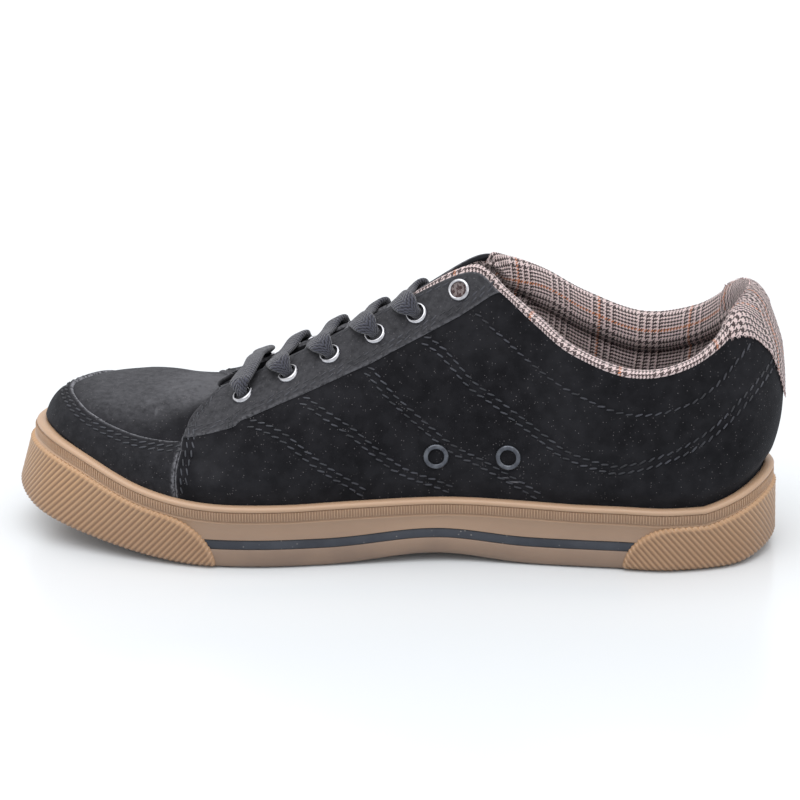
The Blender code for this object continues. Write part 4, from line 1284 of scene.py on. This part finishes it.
def make_upper():
    u = upper_columns()
    outer_v = np.concatenate([[0.0, 0.006, 0.015], np.linspace(0.025, 0.985, 76), [0.995]])
    grid_u, grid_v = np.meshgrid(u, outer_v)
    outer = rib_point(grid_u, grid_v)
    outer = outer + rib_normal(grid_u, grid_v) * surface_lift(grid_u, grid_v)[..., None]
    step = QUARTER_STEP * quarter_front(u, 1.0)
    edge = [rib_point(u, 1.0) + rib_normal(u, 0.99) * (step - sunk)[:, None]
            for sunk in (0.0006, 0.0014)]
    inner_u, inner_v = np.meshgrid(u, [0.995, 0.9, 0.75, 0.6, 0.45, 0.3, 0.15, 0.05, 0.0])
    inner = dressed_point(inner_u, inner_v, -UPPER_WALL)
    low = footbed_height(share_along(u)) + CLEARANCE
    foot, foot_inner = (wall_point(u, low, UPPER_INSET + wall)[None] for wall in (0.0, UPPER_WALL))
    grid = np.concatenate([foot, outer, edge, inner, foot_inner])
    marks = {"raw_edge": np.zeros(grid.shape[:2]), "rubbed": np.zeros(grid.shape[:2])}
    face, v = slice(1, 1 + len(outer_v)), outer_v[:, None]
    seam = np.abs(mirrored(u)[None, :] - front_seam_place(v))
    marks["raw_edge"][face] = np.exp(-(seam / 0.011) ** 2) * (v < 0.5)
    front = smooth((mirrored(u)[None, :] - 10.6) / 1.2) * smooth((v - 0.1) / 0.5)
    marks["rubbed"][face] = front * (0.55 + 0.55 * smooth((v - 0.72) / 0.28))
    return grid_object("suede_upper", grid, NUBUCK, close_rows=True, close_columns=True, marks=marks)


settle(make_upper(), "dark_suede", "upper")


# %% [markdown]
# The toe guard and the eyestays are second layers of suede laid on the upper. Each panel is cut
# from the same surface, between two edges, with a rounded raw border that sinks a little into the
# leather below, so no gap shows.

# %% Panels laid on the upper
OVERLAY = 0.00155
SINK = 0.0003
BORDER = 0.0009


def dense_at_ends(count, length, steps=(0.0001, 0.0003, 0.0006, 0.0010, 0.0016)):
    """Shares from 0 to 1, close together near both ends."""
    near = np.array(steps) / length
    middle = np.linspace(near[-1] * 1.5, 1.0 - near[-1] * 1.5, count)
    return np.concatenate([[0.0], near, middle, 1.0 - near[::-1], [1.0]])


def panel(name, place, columns, rows, long, tall, finish, rubbed=0.0, carve=None, raw_share=1.0,
          low_raw=1.0):
    """A closed panel. place(s, t) gives (u, v) for shares along and up; long and tall are its size."""
    s, t = np.meshgrid(dense_at_ends(columns, long), dense_at_ends(rows, tall))
    u, v = place(s, t)
    face = dressed_point(u, v)
    wide = np.linalg.norm(np.diff(face, axis=1), axis=2).sum(axis=1)[:, None]
    high = np.linalg.norm(np.diff(face, axis=0), axis=2).sum(axis=0)[None, :]
    border = np.minimum(np.minimum(s, 1.0 - s) * wide, np.minimum(t, 1.0 - t) * high)
    crown = np.sqrt(1.0 - (1.0 - np.clip(border / BORDER, 0.0, 1.0)) ** 2)
    lift = OVERLAY * crown - SINK
    if carve is not None:
        lift = lift - carve(face)
    top = dressed_point(u, v, lift)
    base = dressed_point(u, v, -SINK)
    raw = raw_share * np.exp(-(border / 0.0006) ** 2) * (low_raw + (1.0 - low_raw) * smooth(t / 0.2))
    grid = np.concatenate([top, base[::-1]])
    marks = {"raw_edge": np.concatenate([raw, raw[::-1]]), "rubbed": np.full(grid.shape[:2], rubbed)}
    return mend(grid_object(name, grid, finish, close_rows=True, marks=marks))


def trough(lines, depth=0.00035, width=0.0008):
    """A carving along rows of stitches, for a panel."""
    def carve(face):
        away = near_lines(face, lines, 0.01)
        return depth * np.exp(-(away / width) ** 2)
    return carve


# %% Stitch rows of the panels
THROAT_ROW = tuple((u, 0.955) for u in (7.0, 8.0, 9.0, 10.0, 10.8))
STAY_ROWS, GUARD_ROWS = [], []
for side in (-1, 1):
    STAY_ROWS += rows_beside(side, STAY_LOW, -0.0020, -0.0038)
    STAY_ROWS += rows_beside(side, STAY_FRONT, -0.0020, -0.0038)
    STAY_ROWS.append(curve_through(line_on_side(side, THROAT_ROW)))
    GUARD_ROWS += rows_beside(side, GUARD_HIGH, 0.0024, 0.0043)


# %% Toe guard and eyestays
GUARD_LOW = -0.04


def guard_place(s, t):
    start = line_value(FRONT_SEAM, 0.004 + 0.45 * t, axis=1) + 0.012
    u = start + (AROUND - 2 * start) * s
    high = line_value(GUARD_HIGH, mirrored(u))
    return u, GUARD_LOW + (high - GUARD_LOW) * t


def stay_place(side):
    """The eyestay's places: s runs from its top end to its front, t up to the throat."""
    def place(s, t):
        front = line_value(STAY_FRONT, 0.482 + 0.518 * t, axis=1)
        u = 5.93 + (front - 5.93) * s
        low = line_value(STAY_LOW, 5.93 + (10.27 - 5.93) * s)
        v = low + (0.992 - low) * t
        return on_side(side, u), v
    return place


guard = panel("suede_toe_guard", guard_place, 150, 26, 0.25, 0.03, NUBUCK, rubbed=0.10,
              carve=trough(GUARD_ROWS), low_raw=0.0)
settle(guard, "dark_suede", "toe_guard")
for side, label in ((-1, "medial"), (1, "lateral")):
    stay = panel("suede_eyestay_" + label, stay_place(side), 150, 44, 0.13, 0.035, NUBUCK, rubbed=0.42,
                 carve=trough(STAY_ROWS), raw_share=0.45)
    settle(stay, "dark_suede", "eyestay_" + label)


# %% [markdown]
# Stitches. A stitch of bonded thread is a short fat pill that dips into the leather at both ends.
# The rows are cut into equal steps and one pill is set on each, lying along its row.

# %% Stitches
STITCH_SIZE = (0.0028, 0.00076, 0.00036)


def stitch_spots(lines, offset, pitch=STITCH_PITCH):
    """Even spots on rows of stitches: points, directions along and directions up."""
    points, alongs, ups = [], [], []
    for places in lines:
        u, v = places.T
        row = dressed_point(u, v, offset)
        runs = run_length(row)
        even = np.arange(0.5 * pitch, runs[-1] - 0.3 * pitch, pitch)
        uu, vv = np.interp(even, runs, u), np.interp(even, runs, v)
        inside = (vv > 0.0) & (vv < 1.0)
        spots = dressed_point(uu, vv, offset)
        ahead = np.stack([np.interp(even + 0.0003, runs, row[:, k]) for k in range(3)], axis=1)
        points.append(spots[inside])
        up, straight = rib_normal(uu, vv), unit(ahead - spots)
        slanted = straight * math.cos(STITCH_SLANT) + np.cross(up, straight) * math.sin(STITCH_SLANT)
        alongs.append(slanted[inside])
        ups.append(up[inside])
    return tuple(np.concatenate(part) for part in (points, alongs, ups))


def make_stitches(name, lines, offset):
    points, alongs, ups = stitch_spots(lines, offset)
    dash = pill(name + "_pattern", *STITCH_SIZE)
    return set_on_points(name, points, alongs, ups, dash, THREAD_FINISH, size_variation=0.06,
                         turn_variation=0.10)


settle(make_stitches("quarter_stitches", QUARTER_LINES + BACK_LINES, -0.0002), "dark_suede")
settle(make_stitches("stay_stitches", STAY_ROWS, OVERLAY - SINK - 0.0001), "dark_suede")
settle(make_stitches("guard_stitches", GUARD_ROWS, OVERLAY - SINK - 0.0001), "dark_suede")


# %% [markdown]
# The tongue lies under the throat. It follows the inner face of the upper at both sides and is
# slightly crowned in the middle. The laces press it down.

# %% The tongue
TONGUE_DEPTH = 0.0046
TONGUE_THICKNESS = 0.0038
TONGUE_CROWN = 0.0030


def make_tongue():
    u = np.linspace(12.3, 7.30, 70)
    edge_v = np.linspace(0.70, 1.0, 10)
    rows = []
    raised = 0.0030 * smooth((u - 9.2) / 1.4)
    for depth in (TONGUE_DEPTH - raised, TONGUE_DEPTH - raised + TONGUE_THICKNESS):
        near = [dressed_point(u, v, -depth) for v in edge_v]
        far = [dressed_point(AROUND - u, v, -depth) for v in edge_v]
        crown = TONGUE_CROWN * smooth((11.0 - u) / 1.5)[:, None] * np.array([0.0, 0.0, 1.0])
        between = [near[-1] * (1 - t) + far[-1] * t + crown * math.sin(math.pi * t)
                   for t in np.linspace(0.0, 1.0, 14)[1:-1]]
        rows.append(near + between + far[::-1])
    grid = np.array(rows[0] + rows[1][::-1])
    plain = np.zeros(grid.shape[:2])
    marks = {"raw_edge": plain, "rubbed": plain}
    return mend(grid_object("tongue_cloth", grid, NUBUCK, close_rows=True, marks=marks), fill=True)


settle(make_tongue(), "dark_suede", "tongue")


# %% [markdown]
# The collar is a padded roll of tweed over the top edge, and the same cloth lines the inside. The
# roll is full round the heel and thins to a fine piping along the throat. It is a closed shell:
# over the edge, down the inside, and back up against the leather.

# %% The padded collar
COLLAR_ROLL = 0.0088
COLLAR_LIP = 0.0040
COLLAR_SECTION = ((-0.02, 0.35), (-0.03, -0.05), (0.02, -0.42), (0.13, -0.76), (0.26, -0.94),
                  (0.42, -1.02), (0.60, -0.96), (0.78, -0.72), (0.93, -0.28), (1.01, 0.30),
                  (1.04, 1.0), (1.02, 1.6), (0.94, 2.1), (0.80, 2.5), (0.62, 2.78), (0.47, 2.95),
                  (0.42, 3.08), (0.47, 3.22), (0.60, 3.5), (0.70, 4.0), (0.74, 4.6))
COLLAR_GROWTH = ((0.0, 1.0), (5.0, 1.0), (6.0, 0.82), (6.7, 0.42), (7.2, 0.34), (7.75, 0.28),
                 (8.05, 0.02), (9.30, 0.02), (9.50, 0.16), (9.80, 0.16), (9.95, 0.05))
FAR_THINNING = ((0.0, 1.0), (6.55, 1.0), (7.2, 0.0), (9.9, 0.0))
COLLAR_END = 9.9
INNER_SIDE_LIP = 0.46
THROAT_LIP = 1.2
TUCK = 0.0052
TAB_LIFT = 1.15
TAB_SPREAD = 0.85
LINING_SHARES = (0.9, 0.75, 0.6, 0.45, 0.3, 0.15, 0.04)


def collar_rise(u):
    """How much higher the roll stands than its lip: lower on the inner side, higher at the heel tab."""
    side = 1.0 - (1.0 - INNER_SIDE_LIP) * smooth((u - 0.6) / 1.4)
    side = side + THROAT_LIP * smooth((u - 5.7) / 1.2)
    return side + TAB_LIFT * np.exp(-(u / TAB_SPREAD) ** 2)


def make_collar():
    u = np.linspace(-COLLAR_END, COLLAR_END, 620)
    thinning = np.where(u < 0.0, smooth_table(FAR_THINNING, np.abs(u)), 1.0)
    growth = smooth_table(COLLAR_GROWTH, np.abs(u)) * np.maximum(0.04, thinning)
    edge, outward, down = top_edge(u)
    wall = UPPER_WALL + CLEARANCE
    rows = []
    for inwards, depth in COLLAR_SECTION:
        lip = COLLAR_LIP * growth * depth * (collar_rise(u) if depth < 0.0 else 1.0)
        pad = COLLAR_ROLL * growth * inwards
        if depth <= 0.3:
            rows.append(edge - outward * pad[:, None] + down * lip[:, None])
        else:
            deepest = below_edge(u, lip)
            rows.append(dressed_point(u, deepest, -wall - 0.9 * pad))
    for share in LINING_SHARES:
        pad = 0.0046 * smooth((share - 0.1) / 0.7)
        rows.append(dressed_point(u, deepest * share, -wall - 0.0012 - pad * growth))
    rows += [dressed_point(u, deepest * share, -wall) for share in LINING_SHARES[::-2]]
    rows.append(dressed_point(u, 0.5 + 0.5 * deepest - 0.003, -wall))
    rows[0] = dressed_point(u, below_edge(u, 0.0012), 0.0002 - 0.0004 * growth)
    rows.append(dressed_point(u, below_edge(u, 0.0016), -0.0012))
    grid = np.array(rows)
    tucked = dressed_point(u, below_edge(u, TUCK), -wall)
    roll = np.arange(len(rows)) < len(COLLAR_SECTION)
    roll[-1] = True
    hidden = (1.0 - thinning)[None, :, None] * roll[:, None, None]
    grid = grid * (1.0 - hidden) + tucked[None] * hidden
    return mend(grid_object("tweed_collar", grid, TWEED, close_rows=True), fill=True)


collar = settle(make_collar(), "tweed", "collar_lining")


# %% The heel tab
TAB_END = 1.34
TAB_CLOTH = 0.0008
TAB_LOW = ((0.0, 0.45), (0.12, 0.48), (0.25, 0.56), (0.55, 0.782), (0.91, 0.914), (1.15, 0.965),
           (1.38, 1.0))
TAB_OVER = COLLAR_SECTION[1:11]


def make_heel_tab():
    """A second layer of cloth: up the heel, over the roll and a little way down inside."""
    u = np.linspace(-TAB_END, TAB_END, 100)
    low = table(TAB_LOW, np.abs(u))
    edge, outward, down = top_edge(u)
    thin = np.sqrt(np.clip((TAB_END + 0.02 - np.abs(u)) / 0.12, 0.0, 1.0))
    middle = edge - outward * COLLAR_ROLL * 0.5
    over, under = [], []
    for inwards, depth in TAB_OVER:
        lip = COLLAR_LIP * depth * (collar_rise(u) if depth < 0.0 else np.ones_like(u))
        spot = edge - outward * COLLAR_ROLL * inwards + down * lip[:, None]
        away = unit(spot - middle)
        over.append(spot + away * (TAB_CLOTH * thin)[:, None])
        under.append(spot - away * 0.0003)
    levels = [low + (0.99 - low) * share for share in np.linspace(0.0, 1.0, 16)]
    rows = [dressed_point(u, level, 0.0008 * thin) for level in levels]
    rows += over + under[::-2]
    rows += [dressed_point(u, level, -0.0002) for level in levels[::-2]]
    return mend(grid_object("tweed_heel_tab", np.array(rows), TWEED, close_rows=True), fill=True)


tab = settle(make_heel_tab(), "tweed", "collar_lining")

# %% Loose threads at the tab's cut edge and along its top
FRAYS = 520
FRAY_LENGTH = 0.0018


def make_frays():
    """Short loose threads set on the tab's lower edge and over its crest, leaning at random."""
    random = np.random.default_rng(11)
    u = random.uniform(-TAB_END, TAB_END, FRAYS)
    u[FRAYS // 2:FRAYS // 2 + 90] *= 0.12
    low = table(TAB_LOW, np.abs(u))
    edge, outward, down = top_edge(u)
    points = dressed_point(u, low + random.uniform(-0.002, 0.012, FRAYS), 0.0006)
    crest = np.arange(FRAYS) % 3 == 0
    rise = COLLAR_LIP * collar_rise(u) * 1.02 + TAB_CLOTH * 0.6
    points[crest] = (edge - outward * COLLAR_ROLL * 0.42 - down * rise[:, None])[crest]
    lean = random.normal(0.0, 0.55, (FRAYS, 3))
    along = np.where(crest[:, None], -down * 0.8, down) + lean + outward * 0.25
    dash = pill("fray_pattern", FRAY_LENGTH, 0.00016, 0.00016)
    return set_on_points("tab_frays", points, unit(along), outward, dash, LOOSE_WOOL, size_variation=0.5,
                         turn_variation=0.4)


settle(make_frays(), "tweed")


# %% [markdown]
# Eyelets are turned: one profile spun round its axis, with a rolled lip and a barrel through the
# leather. The same tree sets the lace eyelets and the vents.

# %% Eyelets and vents
EYELET_PROFILE = ((0.0030, -0.0030), (0.0030, 0.0004), (0.00305, 0.0008), (0.0032, 0.00108),
                  (0.0035, 0.00120), (0.0038, 0.00108), (0.0041, 0.00082), (0.0043, 0.0004),
                  (0.0044, -0.0002), (0.0036, -0.0002), (0.0035, -0.0030))
VENT_PROFILE = ((0.0029, -0.0024), (0.0029, 0.0002), (0.0030, 0.0006), (0.0033, 0.0009),
                (0.0041, 0.0009), (0.0046, 0.00075), (0.0049, 0.0003), (0.0049, -0.0004),
                (0.0033, -0.0004), (0.0033, -0.0024))
EYELET_OFFSET = 0.0013


def turned(name, profile, finish, sides=36):
    """A ring: a profile of (radius, height) spun round Z."""
    angles = 2 * math.pi * np.arange(sides) / sides
    rows = [[(r * math.cos(a), r * math.sin(a), z) for r, z in profile] for a in angles]
    return template(name, rows, finish, True)


def eyelet_place(rib, share, side):
    """Place and direction of a lace eyelet's seat."""
    u = np.array(on_side(side, rib))
    v = below_edge(u, EYELET_INSET * share)
    return dressed_point(u, v, EYELET_OFFSET), rib_normal(u, v)


def make_rings(name, spots, profile, finish):
    points, ups = (np.array(part) for part in zip(*spots))
    alongs = np.tile([1.0, 0.0, 0.0], (len(points), 1))
    return set_on_points(name, points, alongs, ups, turned(name + "_pattern", profile, finish), finish)


LACE_SPOTS = [eyelet_place(rib, share, side) for side in (-1, 1) for rib, share in EYELETS]
VENT_SPOTS = [(dressed_point(np.array(u), np.array(v), 0.0001), rib_normal(np.array(u), np.array(v)))
              for u, v in VENTS]
settle(make_rings("lace_eyelets", LACE_SPOTS, EYELET_PROFILE, STEEL), "eyelet_steel",
       *["eyelet_%s_%d" % (label, k) for label in ("medial", "lateral") for k in range(1, 7)])
settle(make_rings("vent_rings", VENT_SPOTS, VENT_PROFILE, DARK_STEEL), "vent_steel", "vent_1", "vent_2")
# A disc of tweed in each empty top eyelet: the cloth seen through the hole, darkened as painted shade.
LINING_PROFILE = ((0.00001, 0.0005), (0.0014, 0.0005), (0.0031, 0.0003), (0.0031, -0.0012),
                  (0.00001, -0.0012))
settle(make_rings("eyelet_lining", LACE_SPOTS[5::6], LINING_PROFILE, SHADED_TWEED), "tweed")


# %% [markdown]
# The lace is flat. It crosses as a bar over the first pair of eyelets, goes down through each, and
# comes up from under the throat's edge to run over the far edge and down the next eyelet. Each
# strand is a flat section swept along a smooth line that passes through the eyelet's hole, where
# the lace is squeezed narrow.

# %% The lace
LACE_WIDTH = 0.0084
LACE_THICKNESS = 0.0023
HOLE_WIDTH = 0.0044
HOLE_THICKNESS = 0.0027


def spline(keys, count=90):
    """A smooth line through rows of values, spaced by the distance between their first three."""
    keys = np.array(keys, float)
    gaps = np.sqrt(np.linalg.norm(np.diff(keys[:, :3], axis=0), axis=1))
    t = np.concatenate([[0.0], gaps.cumsum()])
    fine = np.linspace(0.0, t[-1], count)
    i = np.clip(np.searchsorted(t, fine, side="right") - 1, 0, len(t) - 2)
    slope = np.gradient(keys, t, axis=0)
    h = (t[i + 1] - t[i])[:, None]
    f = ((fine - t[i]) / h[:, 0])[:, None]
    return ((2 * f ** 3 - 3 * f ** 2 + 1) * keys[i] + (f ** 3 - 2 * f ** 2 + f) * h * slope[i]
            + (3 * f ** 2 - 2 * f ** 3) * keys[i + 1] + (f ** 3 - f ** 2) * h * slope[i + 1])


def flat_lace(name, keys, count=90):
    """A flat lace along keys of (point, up, width, thickness)."""
    keys = [np.concatenate([point, up, [width, thick]]) for point, up, width, thick in keys]
    rows = spline(keys, count)
    points, ups, widths, thicks = rows[:, :3], unit(rows[:, 3:6]), rows[:, 6], rows[:, 7]
    ahead = unit(np.gradient(points, axis=0))
    side = unit(np.cross(ahead, ups))
    top = np.cross(side, ahead)
    angles = 2 * math.pi * np.arange(18) / 18
    across = np.sign(np.cos(angles)) * np.abs(np.cos(angles)) ** 0.55
    rise = np.sign(np.sin(angles)) * np.abs(np.sin(angles)) ** 0.8
    grid = (points[:, None] + side[:, None] * (0.5 * widths[:, None, None] * across[None, :, None])
            + top[:, None] * (0.5 * thicks[:, None, None] * rise[None, :, None]))
    uv = np.zeros((count, 19, 2))
    uv[..., 0] = run_length(points)[:, None]
    uv[..., 1] = 0.004 + 0.004 * np.append(across, across[0])[None, :]
    return mend(grid_object(name, grid, LACE, close_columns=True, uv=uv), fill=True)


def edge_place(rib, side, lift):
    """A place over (or, with a negative lift, under) the throat's edge."""
    u = np.array(on_side(side, rib))
    return dressed_point(u, 1.0, lift), rib_normal(u, 0.97)


def into_eyelet(rib, share, side, toward, hang=0.0042):
    """Keys that take a strand from outside down through an eyelet's hole, coming from a point."""
    loft = 1.0 if side < 0 else 0.72
    seat, out = eyelet_place(rib, share, side)
    back = toward - seat
    back = unit(back - out * np.dot(back, out))
    return [
        (seat + back * 0.0060 + out * 0.0036 * loft, out, LACE_WIDTH * 1.12, LACE_THICKNESS * 1.1),
        (seat + back * 0.0028 + out * 0.0040 * loft, unit(out - back * 0.35), LACE_WIDTH * 1.02,
         LACE_THICKNESS * 1.3),
        (seat + back * 0.0004 + out * 0.0016, unit(-back + out * 0.15), HOLE_WIDTH * 1.1, HOLE_THICKNESS),
        (seat - out * 0.0018, unit(-back), HOLE_WIDTH, HOLE_THICKNESS * 0.95),
        (seat - out * hang + back * 0.0012, unit(-back - out * 0.6), LACE_WIDTH * 0.7, LACE_THICKNESS),
    ]


def under_edge(rib, share, side, depth=0.0046):
    """Where a strand lies hidden, between the upper and the tongue, below its eyelet."""
    seat, out = eyelet_place(rib, share, side)
    return seat - out * depth, out


def make_bar():
    rib, share = EYELETS[0]
    near, near_up = edge_place(rib, -1, 0.0038)
    far, far_up = edge_place(rib, 1, 0.0038)
    middle = 0.5 * (near + far) + unit(near_up + far_up) * 0.0012
    keys = into_eyelet(rib, share, -1, near)[::-1]
    keys += [(near, near_up, LACE_WIDTH, LACE_THICKNESS),
             (middle, unit(near_up + far_up), LACE_WIDTH, LACE_THICKNESS),
             (far, far_up, LACE_WIDTH, LACE_THICKNESS)]
    keys += into_eyelet(rib, share, 1, far)
    return flat_lace("lace_strand_bar", keys, 120)


def make_strand(number, side):
    """From under the eyelet of one row on one side to the next row's eyelet on the other side."""
    low_rib, low_share = EYELETS[number - 1]
    rib, share = EYELETS[number]
    step = rib - low_rib
    start, start_up = under_edge(low_rib + 0.1 * step, low_share, side, 0.0052)
    under, under_up = edge_place(low_rib + 0.16 * step, side, -0.0030)
    over, over_up = edge_place(low_rib + 0.54 * step, -side, 0.0019 if side > 0 else 0.0012)
    up = unit(under_up + over_up)
    early = under * 0.74 + over * 0.26 + up * (0.0006 if side < 0 else -0.0012)
    late = under * 0.32 + over * 0.68 + up * (0.0006 if side < 0 else -0.0010)
    keys = [(start, start_up, LACE_WIDTH * 0.8, LACE_THICKNESS),
            (under, under_up, LACE_WIDTH, LACE_THICKNESS),
            (early, up, LACE_WIDTH, LACE_THICKNESS),
            (late, up, LACE_WIDTH, LACE_THICKNESS),
            (over, over_up, LACE_WIDTH, LACE_THICKNESS)]
    keys += into_eyelet(rib, share, -side, over)
    return flat_lace("lace_strand_%d_%s" % (number, "medial" if side < 0 else "lateral"), keys)


settle(make_bar(), "lace_cloth", "lace_bar")
for number in range(1, 5):
    for side in (-1, 1):
        settle(make_strand(number, side), "lace_cloth", "lace_cross_%d" % number)


# %% [markdown]
# The stage: a pale floor with a soft gloss, painted darker and bluer near the shoe as painted shade, a
# white surround, and three large lamps.

# %% Floor, light and camera
FLOOR_SIZE = 3.0
FLOOR_LEVEL = -0.0002


def floor_paint(tree, places):
    away = math_node(tree, "LENGTH", places["Object"], kind=VECTOR_MATH)
    # Painted shade: the floor is darker and bluer near the shoe and pale further away.
    far = ramp(tree, away, 0.15, 0.75)
    return mix_colors(tree, far, (0.665, 0.690, 0.715), (0.80, 0.80, 0.80)), None


def make_floor():
    mesh = bpy.data.meshes.new("floor")
    half, low = FLOOR_SIZE, FLOOR_LEVEL
    mesh.from_pydata([(-half, -half, low), (half, -half, low), (half, half, low), (-half, half, low)],
                     [], [(0, 1, 2, 3)])
    mesh.materials.append(material("pale_floor_with_painted_shade", floor_paint, 0.22, Specular_IOR_Level=0.35))
    floor = add_object("floor", mesh)


def make_lamp(name, kind, place, **values):
    """A lamp at a place, turned to the shoe."""
    data = bpy.data.lights.new(name, kind)
    for key, value in values.items():
        setattr(data, key, value)
    lamp = add_object(name, data)
    lamp.location = place
    lamp.rotation_euler = (-Vector(place)).to_track_quat("-Z", "Y").to_euler()


def make_world():
    world = bpy.data.worlds.new("white_tent")
    bpy.context.scene.world = world
    world.use_nodes = True
    back = world.node_tree.nodes["Background"]
    back.inputs["Color"].default_value = (1.0, 1.0, 1.0, 1.0)
    back.inputs["Strength"].default_value = 1.0


VIEW_AZIMUTH = 8.0
VIEW_ELEVATION = 19.0
VIEW_DISTANCE = 1.0
VIEW_TARGET = (0.0028, 0.0, 0.0516)
VIEW_ROLL = -0.55
FOCAL_PIXELS = 2574.7
PICTURE_PIXELS = 800.0
SENSOR = 36.0


def make_camera():
    around, above, roll = (math.radians(angle) for angle in (VIEW_AZIMUTH, VIEW_ELEVATION, VIEW_ROLL))
    level = math.cos(above)
    back = Vector((math.sin(around) * level, -math.cos(around) * level, math.sin(above)))
    right = Vector((math.cos(around), math.sin(around), 0.0))
    up = back.cross(right)
    turned_right = right * math.cos(roll) + up * math.sin(roll)
    turned_up = up * math.cos(roll) - right * math.sin(roll)
    place = Vector(VIEW_TARGET) + Vector(SHIFT) + back * VIEW_DISTANCE
    data = bpy.data.cameras.new("photo_camera")
    data.sensor_width = SENSOR
    data.lens = SENSOR * FOCAL_PIXELS / PICTURE_PIXELS
    data.clip_start = 0.01
    camera = add_object("photo_camera", data)
    turn = Matrix((turned_right, turned_up, back)).transposed().to_4x4()
    camera.matrix_world = Matrix.Translation(place) @ turn
    bpy.context.scene.camera = camera
    print("lens", round(data.lens, 2), "mm, camera at", [round(x, 3) for x in place])


make_floor()
make_world()
make_lamp("roof", "SUN", (-0.15, -0.25, 1.5), energy=1.55, angle=math.radians(70.0))
make_lamp("key", "AREA", (-0.35, -0.75, 1.5), size=1.0, energy=4.0)
make_lamp("fill", "AREA", (1.1, -0.7, 0.7), size=0.8, energy=1.5)
make_camera()
bpy.context.scene.view_settings.view_transform = "Standard"
